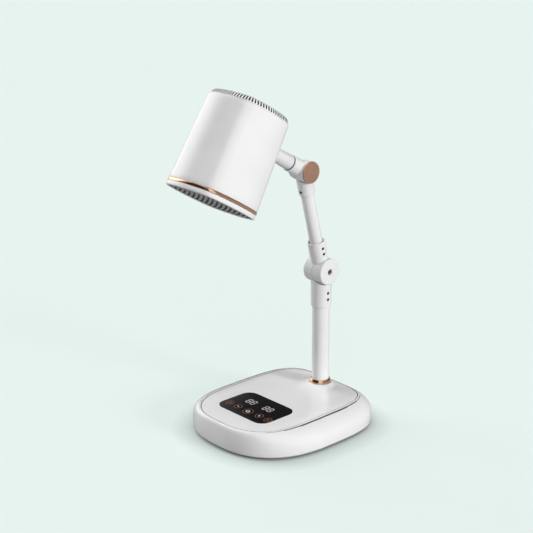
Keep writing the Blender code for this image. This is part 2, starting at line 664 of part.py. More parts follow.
def make_airway():
    """Fan, motor, heater and duct, stacked along the head's axis."""
    outer = AIRWAY_RADIUS / MM
    duct = tube("air_duct", outer, outer - 1.5, -66, -4, MICA, head_axis, steps=28)
    ears("duct_ear", duct, -62, outer - 0.7, 44.2, MICA)
    bracket = tube("fan_bracket", outer, outer - 1.5, -2.6, 22, DARK, head_axis, steps=28)
    ears("bracket_ear", bracket, 19, outer - 0.7, 41.2, DARK)
    join_with(bracket, disc("motor_seat", 13, -2.6, -0.6, DARK, head_axis, steps=24))
    for number in range(3):
        a = 2 * math.pi * (number + 0.5) / 3
        spoke = box(f"bracket_spoke_{number}", (23, 3.2, 2.0), DARK, head_axis,
                    at=(23.4 * MM * math.cos(a), 23.4 * MM * math.sin(a), -1.6 * MM),
                    turn=(0, 0, a))
        join_with(bracket, spoke)
    cut_away(bracket, disc("motor_boss_hole", 5, -4, 1, DARK, head_axis, steps=20))
    motor = disc("fan_motor", 12, -0.3, 4.0, STEEL, head_axis, steps=28)
    join_with(motor, disc("motor_shaft", 1.25, 3, 17, STEEL, head_axis, steps=12))

    rotor = turned("fan_rotor", ((13.6, 18), (13.6, 5), (12.6, 5), (12.6, 14), (1.6, 14),
                   (1.6, 18)), BLACK, head_axis, steps=32)
    for number in range(FAN_BLADES):
        a = 2 * math.pi * number / FAN_BLADES
        blade = box(f"fan_blade_{number}", (19, 13, 1.4), BLACK, head_axis,
                    at=(22.6 * MM * math.cos(a), 22.6 * MM * math.sin(a), 11.4 * MM))
        blade.rotation_euler = Euler((BLADE_PITCH, 0, a))
        join_with(rotor, blade)

    heater = tube("heater_frame", 5, 3, -60, -10, MICA, head_axis, steps=12)
    for number in range(2):
        vane = box(f"heater_vane_{number}", (66, 1.0, 46), MICA, head_axis,
                   at=(0, 0, -36 * MM), turn=(0, 0, math.pi / 2 * number + math.pi / 4))
        join_with(heater, vane)
    cut_away(heater, disc("heater_core_hole", 3, -70, 0, MICA, head_axis, steps=12))
    for number, z in enumerate(COIL_HEIGHTS, 1):
        groove = tube(f"coil_groove_{number}", 30.6, 25.4, z - 2.2, z + 2.2, MICA, head_axis,
                      steps=32)
        cut_away(heater, groove)
        angles = [2 * math.pi * i / 6 for i in range(6)]
        profile = [(28 + 1.8 * math.cos(a), z - 1.8 * math.sin(a)) for a in angles]
        turned(f"heater_coil_{number}", profile, BRASS, head_axis, steps=24)
    box("thermal_cutout", (8, 5, 3), DARK, head_axis, at=(12 * MM, 12 * MM, -61 * MM),
        turn=(0, 0, math.pi / 4))


make_post()
make_upper_arm()
make_neck()
make_neck_tube()
make_head_shell()
make_intake_cap()
make_outlet()
make_airway()
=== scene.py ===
import json
import math

import bmesh
import bpy
from mathutils import Matrix, Vector


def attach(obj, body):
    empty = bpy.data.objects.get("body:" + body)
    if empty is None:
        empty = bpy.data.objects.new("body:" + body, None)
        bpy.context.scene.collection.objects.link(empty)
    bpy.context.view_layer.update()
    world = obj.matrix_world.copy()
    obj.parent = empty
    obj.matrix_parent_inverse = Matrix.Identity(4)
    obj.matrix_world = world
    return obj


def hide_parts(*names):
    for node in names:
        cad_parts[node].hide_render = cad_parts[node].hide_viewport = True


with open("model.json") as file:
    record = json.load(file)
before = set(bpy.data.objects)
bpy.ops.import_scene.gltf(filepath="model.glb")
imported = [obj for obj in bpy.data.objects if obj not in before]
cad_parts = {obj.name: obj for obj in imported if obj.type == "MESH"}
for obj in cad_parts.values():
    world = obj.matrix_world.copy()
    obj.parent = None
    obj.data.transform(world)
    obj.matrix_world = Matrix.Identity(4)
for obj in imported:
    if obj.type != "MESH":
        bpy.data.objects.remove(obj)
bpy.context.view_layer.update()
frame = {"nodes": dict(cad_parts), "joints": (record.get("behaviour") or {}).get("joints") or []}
nodes = frame["nodes"]
joints = {joint["name"]: joint for joint in frame["joints"]}
mm = 0.001
print("frame loaded:", len(nodes), "CAD nodes")

# places of the moving groups, from the joints
elbowAt = Vector(joints["elbow_tilt"]["pos_m"])
knuckleAt = Vector(joints["head_tilt"]["pos_m"])
headAt = Vector(joints["fan_spin"]["pos_m"])
neckWay = Vector(joints["head_roll"]["axis"])
armWay = (knuckleAt - elbowAt).normalized()
armLean = math.atan2(-armWay.y, armWay.z)
neckLean = math.atan2(-neckWay.y, neckWay.z)

postPlace = Matrix.Translation((elbowAt.x, elbowAt.y, 0))
elbowPlace = Matrix.Translation(elbowAt)
armPlace = elbowPlace @ Matrix.Rotation(armLean, 4, "X")
armTopPlace = Matrix.Translation(knuckleAt) @ Matrix.Rotation(armLean, 4, "X")
neckPlace = Matrix.Translation(knuckleAt) @ Matrix.Rotation(neckLean, 4, "X")
headPlace = Matrix.Translation(headAt) @ Matrix.Rotation(neckLean - math.pi / 2, 4, "X")
towardRight = Matrix.Rotation(math.pi / 2, 4, "Y")      # a piece's z to +X
towardLeft = Matrix.Rotation(-math.pi / 2, 4, "Y")
towardUser = Matrix.Rotation(math.pi / 2, 4, "X")       # a piece's z to -Y
upsideDown = Matrix.Rotation(math.pi, 4, "X")

# camera
cameraSettings = {
    "stand": (1.1229, -1.0434, 0.7169),
    "azimuth": 46.98,
    "elevation": 18.39,
    "lens": 90.24,
    "shift": (-0.0289, 0.0),
}
camera = bpy.data.objects.new("studioCamera", bpy.data.cameras.new("studioCamera"))
bpy.context.scene.collection.objects.link(camera)
camera.location = cameraSettings["stand"]
camera.rotation_euler = (
    math.radians(90 - cameraSettings["elevation"]), 0, math.radians(cameraSettings["azimuth"]))
camera.data.lens = cameraSettings["lens"]
camera.data.shift_x, camera.data.shift_y = cameraSettings["shift"]
bpy.context.scene.camera = camera

# materials


def emptyMaterial(name):
    material = bpy.data.materials.new(name)
    material.use_nodes = True
    material.node_tree.nodes.clear()
    return material, material.node_tree


def mouldedWhite(name, settings):       # gloss white plastic or paint, with a faint orange peel
    material, tree = emptyMaterial(name)
    output = tree.nodes.new("ShaderNodeOutputMaterial")
    output.label = "white surface"
    shader = tree.nodes.new("ShaderNodeBsdfPrincipled")
    shader.label = "gloss white"
    where = tree.nodes.new("ShaderNodeTexCoord")
    where.label = "place on the piece"
    cloud = tree.nodes.new("ShaderNodeTexNoise")
    cloud.label = "slow drift of the white"
    tint = tree.nodes.new("ShaderNodeValToRGB")
    tint.label = "white to a warmer white"
    wipe = tree.nodes.new("ShaderNodeTexNoise")
    wipe.label = "wiped and handled patches"
    gloss = tree.nodes.new("ShaderNodeMapRange")
    gloss.label = "gloss range"
    peel = tree.nodes.new("ShaderNodeTexNoise")
    peel.label = "orange peel"
    bump = tree.nodes.new("ShaderNodeBump")
    bump.label = "peel height"
    colourFrame = tree.nodes.new("NodeFrame")
    colourFrame.label = "colour"
    glossFrame = tree.nodes.new("NodeFrame")
    glossFrame.label = "gloss"
    peelFrame = tree.nodes.new("NodeFrame")
    peelFrame.label = "peel"
    for node in (cloud, tint):
        node.parent = colourFrame
    for node in (wipe, gloss):
        node.parent = glossFrame
    for node in (peel, bump):
        node.parent = peelFrame
    for node, at in ((output, (700, 0)), (shader, (400, 0)), (where, (-700, 0)),
                     (cloud, (-400, 250)), (tint, (-150, 250)), (wipe, (-400, 0)),
                     (gloss, (-150, 0)), (peel, (-400, -300)), (bump, (-150, -300))):
        node.location = at
    cloud.inputs["Scale"].default_value = 14
    cloud.inputs["Detail"].default_value = 3
    tint.color_ramp.elements[0].color = (*settings["shade"], 1)
    tint.color_ramp.elements[1].color = (*settings["white"], 1)
    tint.color_ramp.elements[0].position = 0.3
    tint.color_ramp.elements[1].position = 0.7
    wipe.inputs["Scale"].default_value = 38
    wipe.inputs["Detail"].default_value = 4
    gloss.inputs["To Min"].default_value = settings["roughness"][0]
    gloss.inputs["To Max"].default_value = settings["roughness"][1]
    peel.inputs["Scale"].default_value = settings["peelScale"]
    peel.inputs["Detail"].default_value = 2
    bump.inputs["Strength"].default_value = settings["peel"]
    bump.inputs["Distance"].default_value = 0.00005
    shader.inputs["Coat Weight"].default_value = settings["coat"]
    shader.inputs["Coat Roughness"].default_value = 0.08
    shader.inputs["IOR"].default_value = 1.5
    tree.links.new(where.outputs["Object"], cloud.inputs["Vector"])
    tree.links.new(where.outputs["Object"], wipe.inputs["Vector"])
    tree.links.new(where.outputs["Object"], peel.inputs["Vector"])
    tree.links.new(cloud.outputs["Fac"], tint.inputs["Fac"])
    tree.links.new(tint.outputs["Color"], shader.inputs["Base Color"])
    tree.links.new(wipe.outputs["Fac"], gloss.inputs["Value"])
    tree.links.new(gloss.outputs["Result"], shader.inputs["Roughness"])
    tree.links.new(peel.outputs["Fac"], bump.inputs["Height"])
    tree.links.new(bump.outputs["Normal"], shader.inputs["Normal"])
    tree.links.new(shader.outputs["BSDF"], output.inputs["Surface"])
    return material


def workedMetal(name, settings):        # plated, turned or plain metal with fine streaks and smudges
    material, tree = emptyMaterial(name)
    output = tree.nodes.new("ShaderNodeOutputMaterial")
    output.label = "metal surface"
    shader = tree.nodes.new("ShaderNodeBsdfPrincipled")
    shader.label = "metal"
    where = tree.nodes.new("ShaderNodeTexCoord")
    where.label = "place on the piece"
    stretch = tree.nodes.new("ShaderNodeMapping")
    stretch.label = "streaks drawn out one way"
    streak = tree.nodes.new("ShaderNodeTexNoise")
    streak.label = "fine streaks"
    smudge = tree.nodes.new("ShaderNodeTexNoise")
    smudge.label = "handled smudges"
    tint = tree.nodes.new("ShaderNodeValToRGB")
    tint.label = "plating tone"
    blend = tree.nodes.new("ShaderNodeMath")
    blend.label = "streaks and smudges together"
    gloss = tree.nodes.new("ShaderNodeMapRange")
    gloss.label = "polish range"
    bump = tree.nodes.new("ShaderNodeBump")
    bump.label = "streak depth"
    colourFrame = tree.nodes.new("NodeFrame")
    colourFrame.label = "tone"
    grainFrame = tree.nodes.new("NodeFrame")
    grainFrame.label = "streaks"
    polishFrame = tree.nodes.new("NodeFrame")
    polishFrame.label = "polish"
    tint.parent = colourFrame
    for node in (stretch, streak, bump):
        node.parent = grainFrame
    for node in (smudge, blend, gloss):
        node.parent = polishFrame
    for node, at in ((output, (900, 0)), (shader, (600, 0)), (where, (-900, 0)),
                     (stretch, (-650, -250)), (streak, (-400, -250)), (smudge, (-400, 50)),
                     (tint, (200, 300)), (blend, (-100, 0)), (gloss, (150, 0)),
                     (bump, (200, -300))):
        node.location = at
    stretch.inputs["Scale"].default_value = settings["streakScale"]
    streak.inputs["Scale"].default_value = 1
    streak.inputs["Detail"].default_value = 3
    smudge.inputs["Scale"].default_value = 60
    smudge.inputs["Detail"].default_value = 4
    blend.operation = "MULTIPLY"
    gloss.inputs["From Max"].default_value = 0.5
    gloss.inputs["To Min"].default_value = settings["roughness"][0]
    gloss.inputs["To Max"].default_value = settings["roughness"][1]
    tint.color_ramp.elements[0].color = (*settings["dark"], 1)
    tint.color_ramp.elements[1].color = (*settings["light"], 1)
    bump.inputs["Strength"].default_value = settings["depth"]
    bump.inputs["Distance"].default_value = 0.00003
    shader.inputs["Metallic"].default_value = 1.0
    tree.links.new(where.outputs["Object"], stretch.inputs["Vector"])
    tree.links.new(stretch.outputs["Vector"], streak.inputs["Vector"])
    tree.links.new(where.outputs["Object"], smudge.inputs["Vector"])
    tree.links.new(streak.outputs["Fac"], blend.inputs[0])
    tree.links.new(smudge.outputs["Fac"], blend.inputs[1])
    tree.links.new(blend.outputs["Value"], gloss.inputs["Value"])
    tree.links.new(gloss.outputs["Result"], shader.inputs["Roughness"])
    tree.links.new(smudge.outputs["Fac"], tint.inputs["Fac"])
    tree.links.new(tint.outputs["Color"], shader.inputs["Base Color"])
    tree.links.new(streak.outputs["Fac"], bump.inputs["Height"])
    tree.links.new(bump.outputs["Normal"], shader.inputs["Normal"])
    tree.links.new(shader.outputs["BSDF"], output.inputs["Surface"])
    return material


def turnedBronze(name, settings):       # rings of a lathe tool round the cap's own axis
    material, tree = emptyMaterial(name)
    output = tree.nodes.new("ShaderNodeOutputMaterial")
    output.label = "cap surface"
    shader = tree.nodes.new("ShaderNodeBsdfPrincipled")
    shader.label = "bronze"
    where = tree.nodes.new("ShaderNodeTexCoord")
    where.label = "place on the cap"
    centre = tree.nodes.new("ShaderNodeMapping")
    centre.label = "centred on the cap"
    rings = tree.nodes.new("ShaderNodeTexWave")
    rings.label = "lathe rings"
    haze = tree.nodes.new("ShaderNodeTexNoise")
    haze.label = "anodised haze"
    tint = tree.nodes.new("ShaderNodeValToRGB")
    tint.label = "bronze tone"
    gloss = tree.nodes.new("ShaderNodeMapRange")
    gloss.label = "satin range"
    bump = tree.nodes.new("ShaderNodeBump")
    bump.label = "ring depth"
    ringFrame = tree.nodes.new("NodeFrame")
    ringFrame.label = "lathe rings"
    toneFrame = tree.nodes.new("NodeFrame")
    toneFrame.label = "tone and satin"
    for node in (centre, rings, bump):
        node.parent = ringFrame
    for node in (haze, tint, gloss):
        node.parent = toneFrame
    for node, at in ((output, (900, 0)), (shader, (600, 0)), (where, (-900, 0)),
                     (centre, (-650, -200)), (rings, (-400, -200)), (haze, (-400, 200)),
                     (tint, (0, 250)), (gloss, (0, 0)), (bump, (200, -300))):
        node.location = at
    centre.vector_type = "POINT"
    centre.inputs["Location"].default_value = [-value for value in settings["centre"]]
    rings.wave_type = "RINGS"
    rings.rings_direction = "X"
    rings.inputs["Scale"].default_value = settings["ringScale"]
    rings.inputs["Distortion"].default_value = 0.3
    rings.inputs["Detail"].default_value = 1
    haze.inputs["Scale"].default_value = 90
    haze.inputs["Detail"].default_value = 3
    tint.color_ramp.elements[0].color = (*settings["dark"], 1)
    tint.color_ramp.elements[1].color = (*settings["light"], 1)
    gloss.inputs["To Min"].default_value = settings["roughness"][0]
    gloss.inputs["To Max"].default_value = settings["roughness"][1]
    bump.inputs["Strength"].default_value = 0.25
    bump.inputs["Distance"].default_value = 0.00004
    shader.inputs["Metallic"].default_value = settings["metallic"]
    tree.links.new(where.outputs["Object"], centre.inputs["Vector"])
    tree.links.new(centre.outputs["Vector"], rings.inputs["Vector"])
    tree.links.new(where.outputs["Object"], haze.inputs["Vector"])
    tree.links.new(haze.outputs["Fac"], tint.inputs["Fac"])
    tree.links.new(tint.outputs["Color"], shader.inputs["Base Color"])
    tree.links.new(haze.outputs["Fac"], gloss.inputs["Value"])
    tree.links.new(gloss.outputs["Result"], shader.inputs["Roughness"])
    tree.links.new(rings.outputs["Fac"], bump.inputs["Height"])
    tree.links.new(bump.outputs["Normal"], shader.inputs["Normal"])
    tree.links.new(shader.outputs["BSDF"], output.inputs["Surface"])
    return material


def satinPolymer(name, settings):       # dark plastics, rubber, nylon and board, and the painted shade in slots and seams: grain and a mottled tone
    material, tree = emptyMaterial(name)
    output = tree.nodes.new("ShaderNodeOutputMaterial")
    output.label = "polymer surface"
    shader = tree.nodes.new("ShaderNodeBsdfPrincipled")
    shader.label = "satin polymer"
    where = tree.nodes.new("ShaderNodeTexCoord")
    where.label = "place on the piece"
    grain = tree.nodes.new("ShaderNodeTexVoronoi")
    grain.label = "mould grain"
    mottle = tree.nodes.new("ShaderNodeTexNoise")
    mottle.label = "mottled tone"
    tint = tree.nodes.new("ShaderNodeValToRGB")
    tint.label = "polymer tone"
    gloss = tree.nodes.new("ShaderNodeMapRange")
    gloss.label = "satin range"
    bump = tree.nodes.new("ShaderNodeBump")
    bump.label = "grain height"
    toneFrame = tree.nodes.new("NodeFrame")
    toneFrame.label = "tone and satin"
    grainFrame = tree.nodes.new("NodeFrame")
    grainFrame.label = "grain"
    for node in (mottle, tint, gloss):
        node.parent = toneFrame
    for node in (grain, bump):
        node.parent = grainFrame
    for node, at in ((output, (700, 0)), (shader, (400, 0)), (where, (-700, 0)),
                     (mottle, (-400, 200)), (tint, (-100, 250)), (gloss, (-100, 0)),
                     (grain, (-400, -250)), (bump, (-100, -250))):
        node.location = at
    grain.inputs["Scale"].default_value = settings["grainScale"]
    mottle.inputs["Scale"].default_value = settings["mottleScale"]
    mottle.inputs["Detail"].default_value = 5
    tint.color_ramp.elements[0].color = (*settings["dark"], 1)
    tint.color_ramp.elements[1].color = (*settings["light"], 1)
    gloss.inputs["To Min"].default_value = settings["roughness"][0]
    gloss.inputs["To Max"].default_value = settings["roughness"][1]
    bump.inputs["Strength"].default_value = settings["grain"]
    bump.inputs["Distance"].default_value = 0.00006
    tree.links.new(where.outputs["Object"], grain.inputs["Vector"])
    tree.links.new(where.outputs["Object"], mottle.inputs["Vector"])
    tree.links.new(mottle.outputs["Fac"], tint.inputs["Fac"])
    tree.links.new(tint.outputs["Color"], shader.inputs["Base Color"])
    tree.links.new(mottle.outputs["Fac"], gloss.inputs["Value"])
    tree.links.new(gloss.outputs["Result"], shader.inputs["Roughness"])
    tree.links.new(grain.outputs["Distance"], bump.inputs["Height"])
    tree.links.new(bump.outputs["Normal"], shader.inputs["Normal"])
    tree.links.new(shader.outputs["BSDF"], output.inputs["Surface"])
    return material


def touchBlack(name, settings):         # black back-printed glass with finger haze
    material, tree = emptyMaterial(name)
    output = tree.nodes.new("ShaderNodeOutputMaterial")
    output.label = "glass surface"
    shader = tree.nodes.new("ShaderNodeBsdfPrincipled")
    shader.label = "black glass"
    where = tree.nodes.new("ShaderNodeTexCoord")
    where.label = "place on the glass"
    touch = tree.nodes.new("ShaderNodeTexNoise")
    touch.label = "finger haze"
    gloss = tree.nodes.new("ShaderNodeMapRange")
    gloss.label = "haze range"
    tone = tree.nodes.new("ShaderNodeTexNoise")
    tone.label = "ink density"
    tint = tree.nodes.new("ShaderNodeValToRGB")
    tint.label = "black to warm black"
    hazeFrame = tree.nodes.new("NodeFrame")
    hazeFrame.label = "finger haze"
    inkFrame = tree.nodes.new("NodeFrame")
    inkFrame.label = "ink"
    for node in (touch, gloss):
        node.parent = hazeFrame
    for node in (tone, tint):
        node.parent = inkFrame
    for node, at in ((output, (700, 0)), (shader, (400, 0)), (where, (-700, 0)),
                     (touch, (-400, -100)), (gloss, (-100, -100)), (tone, (-400, 200)),
                     (tint, (-100, 200))):
        node.location = at
    touch.inputs["Scale"].default_value = 70
    touch.inputs["Detail"].default_value = 3
    tone.inputs["Scale"].default_value = 25
    gloss.inputs["To Min"].default_value = settings["roughness"][0]
    gloss.inputs["To Max"].default_value = settings["roughness"][1]
    tint.color_ramp.elements[0].color = (*settings["dark"], 1)
    tint.color_ramp.elements[1].color = (*settings["light"], 1)
    shader.inputs["IOR"].default_value = settings["ior"]
    tree.links.new(where.outputs["Object"], touch.inputs["Vector"])
    tree.links.new(where.outputs["Object"], tone.inputs["Vector"])
    tree.links.new(touch.outputs["Fac"], gloss.inputs["Value"])
    tree.links.new(gloss.outputs["Result"], shader.inputs["Roughness"])
    tree.links.new(tone.outputs["Fac"], tint.inputs["Fac"])
    tree.links.new(tint.outputs["Color"], shader.inputs["Base Color"])
    tree.links.new(shader.outputs["BSDF"], output.inputs["Surface"])
    return material


def litPrint(name, settings):           # digits, key rings and marks that glow softly through the glass
    material, tree = emptyMaterial(name)
    output = tree.nodes.new("ShaderNodeOutputMaterial")
    output.label = "print surface"
    shader = tree.nodes.new("ShaderNodeBsdfPrincipled")
    shader.label = "lit print"
    where = tree.nodes.new("ShaderNodeTexCoord")
    where.label = "place on the print"
    spread = tree.nodes.new("ShaderNodeTexNoise")
    spread.label = "uneven back light"
    tint = tree.nodes.new("ShaderNodeValToRGB")
    tint.label = "print tone"
    lightFrame = tree.nodes.new("NodeFrame")
    lightFrame.label = "back light"
    for node in (spread, tint):
        node.parent = lightFrame
    for node, at in ((output, (700, 0)), (shader, (400, 0)), (where, (-700, 0)),
                     (spread, (-400, 0)), (tint, (-100, 0))):
        node.location = at
    spread.inputs["Scale"].default_value = 160
    tint.color_ramp.elements[0].color = (*settings["dark"], 1)
    tint.color_ramp.elements[1].color = (*settings["light"], 1)
    shader.inputs["Roughness"].default_value = 0.3
    shader.inputs["Emission Strength"].default_value = settings["glow"]
    tree.links.new(where.outputs["Object"], spread.inputs["Vector"])
    tree.links.new(spread.outputs["Fac"], tint.inputs["Fac"])
    tree.links.new(tint.outputs["Color"], shader.inputs["Base Color"])
    tree.links.new(tint.outputs["Color"], shader.inputs["Emission Color"])
    tree.links.new(shader.outputs["BSDF"], output.inputs["Surface"])
    return material


shellWhite = mouldedWhite("shellWhite", {
    "shade": (0.80, 0.80, 0.805), "white": (0.86, 0.86, 0.86), "roughness": (0.16, 0.26),
    "peelScale": 900, "peel": 0.15, "coat": 0.35})
paintWhite = mouldedWhite("paintWhite", {
    "shade": (0.77, 0.77, 0.775), "white": (0.83, 0.83, 0.83), "roughness": (0.26, 0.38),
    "peelScale": 1500, "peel": 0.3, "coat": 0.15})
# slotShadow is painted shade: a dark finish put in the intake slots and in the channel under the base's
# seam, where there is only shade
slotShadow = satinPolymer("slotShadow", {
    "dark": (0.05, 0.05, 0.052), "light": (0.10, 0.10, 0.102), "roughness": (0.5, 0.7),
    "grainScale": 1400, "grain": 0.2, "mottleScale": 90})
roseGold = workedMetal("roseGold", {
    "dark": (0.78, 0.44, 0.27), "light": (0.92, 0.58, 0.38), "roughness": (0.03, 0.08),
    "streakScale": (300, 300, 3000), "depth": 0.08})
bronze = turnedBronze("bronze", {
    "centre": knuckleAt, "dark": (0.46, 0.26, 0.175), "light": (0.60, 0.36, 0.25),
    "roughness": (0.34, 0.46), "ringScale": 900, "metallic": 0.6})
panelBlack = touchBlack("panelBlack", {
    "dark": (0.006, 0.0055, 0.006), "light": (0.012, 0.011, 0.012),
    "roughness": (0.05, 0.16), "ior": 1.28})
digitLight = litPrint("digitLight", {
    "dark": (0.30, 0.29, 0.30), "light": (0.46, 0.45, 0.46), "glow": 0.25})
keyBronze = litPrint("keyBronze", {
    "dark": (0.20, 0.085, 0.04), "light": (0.34, 0.16, 0.08), "glow": 0.15})
iconWhite = litPrint("iconWhite", {
    "dark": (0.62, 0.60, 0.55), "light": (0.85, 0.83, 0.78), "glow": 0.5})
labelGrey = litPrint("labelGrey", {
    "dark": (0.05, 0.048, 0.045), "light": (0.11, 0.105, 0.1), "glow": 0.1})
grilleGrey = satinPolymer("grilleGrey", {
    "dark": (0.23, 0.23, 0.235), "light": (0.32, 0.32, 0.325), "roughness": (0.3, 0.45),
    "grainScale": 1100, "grain": 0.15, "mottleScale": 60})
sealGrey = satinPolymer("sealGrey", {
    "dark": (0.06, 0.06, 0.065), "light": (0.11, 0.11, 0.115), "roughness": (0.45, 0.6),
    "grainScale": 1600, "grain": 0.25, "mottleScale": 120})
blackPlastic = satinPolymer("blackPlastic", {
    "dark": (0.012, 0.012, 0.013), "light": (0.03, 0.03, 0.032), "roughness": (0.4, 0.6),
    "grainScale": 1300, "grain": 0.3, "mottleScale": 80})
rubberBlack = satinPolymer("rubberBlack", {
    "dark": (0.01, 0.01, 0.01), "light": (0.025, 0.025, 0.026), "roughness": (0.7, 0.9),
    "grainScale": 700, "grain": 0.5, "mottleScale": 50})
nylonCream = satinPolymer("nylonCream", {
    "dark": (0.58, 0.57, 0.52), "light": (0.72, 0.71, 0.66), "roughness": (0.4, 0.55),
    "grainScale": 1700, "grain": 0.15, "mottleScale": 100})
micaBoard = satinPolymer("micaBoard", {
    "dark": (0.38, 0.33, 0.22), "light": (0.62, 0.56, 0.42), "roughness": (0.35, 0.7),
    "grainScale": 260, "grain": 0.6, "mottleScale": 220})
boardGreen = satinPolymer("boardGreen", {
    "dark": (0.012, 0.09, 0.035), "light": (0.03, 0.19, 0.075), "roughness": (0.3, 0.5),
    "grainScale": 420, "grain": 0.4, "mottleScale": 260})
screwBlack = workedMetal("screwBlack", {
    "dark": (0.02, 0.02, 0.022), "light": (0.05, 0.05, 0.053), "roughness": (0.3, 0.5),
    "streakScale": (1500, 1500, 1500), "depth": 0.2})
boltGrey = workedMetal("boltGrey", {
    "dark": (0.20, 0.20, 0.21), "light": (0.34, 0.34, 0.35), "roughness": (0.3, 0.45),
    "streakScale": (1500, 1500, 1500), "depth": 0.2})
plainSteel = workedMetal("plainSteel", {
    "dark": (0.45, 0.45, 0.46), "light": (0.62, 0.62, 0.63), "roughness": (0.2, 0.4),
    "streakScale": (2500, 2500, 300), "depth": 0.2})
castIron = workedMetal("castIron", {
    "dark": (0.09, 0.09, 0.095), "light": (0.17, 0.17, 0.175), "roughness": (0.55, 0.8),
    "streakScale": (400, 400, 400), "depth": 0.8})
brassWire = workedMetal("brassWire", {
    "dark": (0.55, 0.38, 0.15), "light": (0.78, 0.58, 0.28), "roughness": (0.2, 0.4),
    "streakScale": (600, 600, 2400), "depth": 0.3})
print("materials made")

# shared ways of making a piece


def meshPiece(name, points, faces, edges=()):
    mesh = bpy.data.meshes.new(name)
    mesh.from_pydata([Vector(point) for point in points], list(edges), list(faces))
    piece = bpy.data.objects.new(name, mesh)
    bpy.context.scene.collection.objects.link(piece)
    return piece


def settle(piece, place=None):          # bake the stack, then the place, into the mesh
    graph = bpy.context.evaluated_depsgraph_get()
    graph.update()
    mesh = bpy.data.meshes.new_from_object(piece.evaluated_get(graph))
    mesh.name = piece.name
    old = piece.data
    piece.modifiers.clear()
    piece.data = mesh
    if old.users == 0:
        bpy.data.meshes.remove(old)
    if place is not None:
        mesh.transform(place)
    return piece


def shade(piece, angle=40):
    piece.data.shade_smooth()
    piece.data.set_sharp_from_angle(angle=math.radians(angle))


def dress(piece, material, body, replaced=(), second=None, place=None, angle=None):
    if place is not None:
        piece.data.transform(place)
    if angle is not None:
        shade(piece, angle)
    piece.data.materials.clear()
    piece.data.materials.append(material)
    if second is not None:
        piece.data.materials.append(second)
    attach(piece, body)
    if replaced:
        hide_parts(*replaced)
    return piece


def turned(name, profile, place, steps=96, soften=0.3, segments=3):
    # profile is (radius, height) in mm, down the outer side
    ring = profile[0][0] > 0
    edges = [(i, i + 1) for i in range(len(profile) - 1)]
    if ring:
        edges.append((len(profile) - 1, 0))
    piece = meshPiece(name, [(r * mm, 0, z * mm) for r, z in profile], (), edges)
    screw = piece.modifiers.new("turn", "SCREW")
    screw.steps = screw.render_steps = steps
    screw.use_merge_vertices = True
    screw.merge_threshold = 0.000005
    if soften:
        bevel = piece.modifiers.new("softEdges", "BEVEL")
        bevel.width = soften * mm
        bevel.segments = segments
        bevel.limit_method = "ANGLE"
        bevel.angle_limit = math.radians(28)
        bevel.use_clamp_overlap = True
    settle(piece, place)
    shade(piece)
    return piece


def turnOutwards(piece):                # every face looks out of the piece
    cage = bmesh.new()
    cage.from_mesh(piece.data)
    bmesh.ops.recalc_face_normals(cage, faces=cage.faces)
    cage.to_mesh(piece.data)
    cage.free()
    return piece


def lofted(name, rings, closedLoop=False):
    count = len(rings[0])
    points = [point for ring in rings for point in ring]
    faces = []
    rows = list(range(len(rings) - 1)) + ([len(rings) - 1] if closedLoop else [])
    for row in rows:
        here, after = row * count, ((row + 1) % len(rings)) * count
        for i in range(count):
            j = (i + 1) % count
            faces.append((here + i, here + j, after + j, after + i))
    if not closedLoop:
        faces.append(tuple(range(count)))
        faces.append(tuple(range((len(rings) - 1) * count, len(rings) * count)))
    return turnOutwards(meshPiece(name, points, faces))


def plate(name, outlines, low, high, soften):       # flat outlines in mm, holes included
    curve = bpy.data.curves.new(name, "CURVE")
    curve.dimensions = "2D"
    curve.fill_mode = "BOTH"
    curve.extrude = ((high - low) / 2 - soften) * mm
    curve.bevel_depth = soften * mm
    curve.bevel_resolution = 2
    curve.offset = -soften * mm
    for outline in outlines:
        spline = curve.splines.new("POLY")
        spline.points.add(len(outline) - 1)
        spline.use_cyclic_u = True
        for point, (x, y) in zip(spline.points, outline):
            point.co = (x * mm, y * mm, 0, 1)
    sketch = bpy.data.objects.new(name + "Sketch", curve)
    bpy.context.scene.collection.objects.link(sketch)
    graph = bpy.context.evaluated_depsgraph_get()
    graph.update()
    mesh = bpy.data.meshes.new_from_object(sketch.evaluated_get(graph))
    bpy.data.objects.remove(sketch, do_unlink=True)
    mesh.name = name
    mesh.materials.clear()
    cage = bmesh.new()
    cage.from_mesh(mesh)
    bmesh.ops.remove_doubles(cage, verts=cage.verts, dist=0.000005)
    bmesh.ops.translate(cage, vec=(0, 0, (low + high) / 2 * mm), verts=cage.verts)
    bmesh.ops.recalc_face_normals(cage, faces=cage.faces)
    cage.to_mesh(mesh)
    cage.free()
    piece = bpy.data.objects.new(name, mesh)
    bpy.context.scene.collection.objects.link(piece)
    return piece


def carve(piece, tools, operation="DIFFERENCE"):
    for tool in tools:
        cut = piece.modifiers.new("carve", "BOOLEAN")
        cut.operation = operation
        cut.solver = "EXACT"
        cut.object = tool
    settle(piece)
    for tool in tools:
        bpy.data.objects.remove(tool, do_unlink=True)
    return piece


def roundedRectangle(width, depth, corner, x=0.0, y=0.0, steps=10):
    points = []
    for quarter, (sideX, sideY) in enumerate(((1, 1), (-1, 1), (-1, -1), (1, -1))):
        for step in range(steps + 1):
            a = (quarter + step / steps) * math.pi / 2
            points.append((x + sideX * (width / 2 - corner) + corner * math.cos(a),
                           y + sideY * (depth / 2 - corner) + corner * math.sin(a)))
    return points


def evenAngles(steps):
    return [2 * math.pi * i / steps for i in range(steps)]


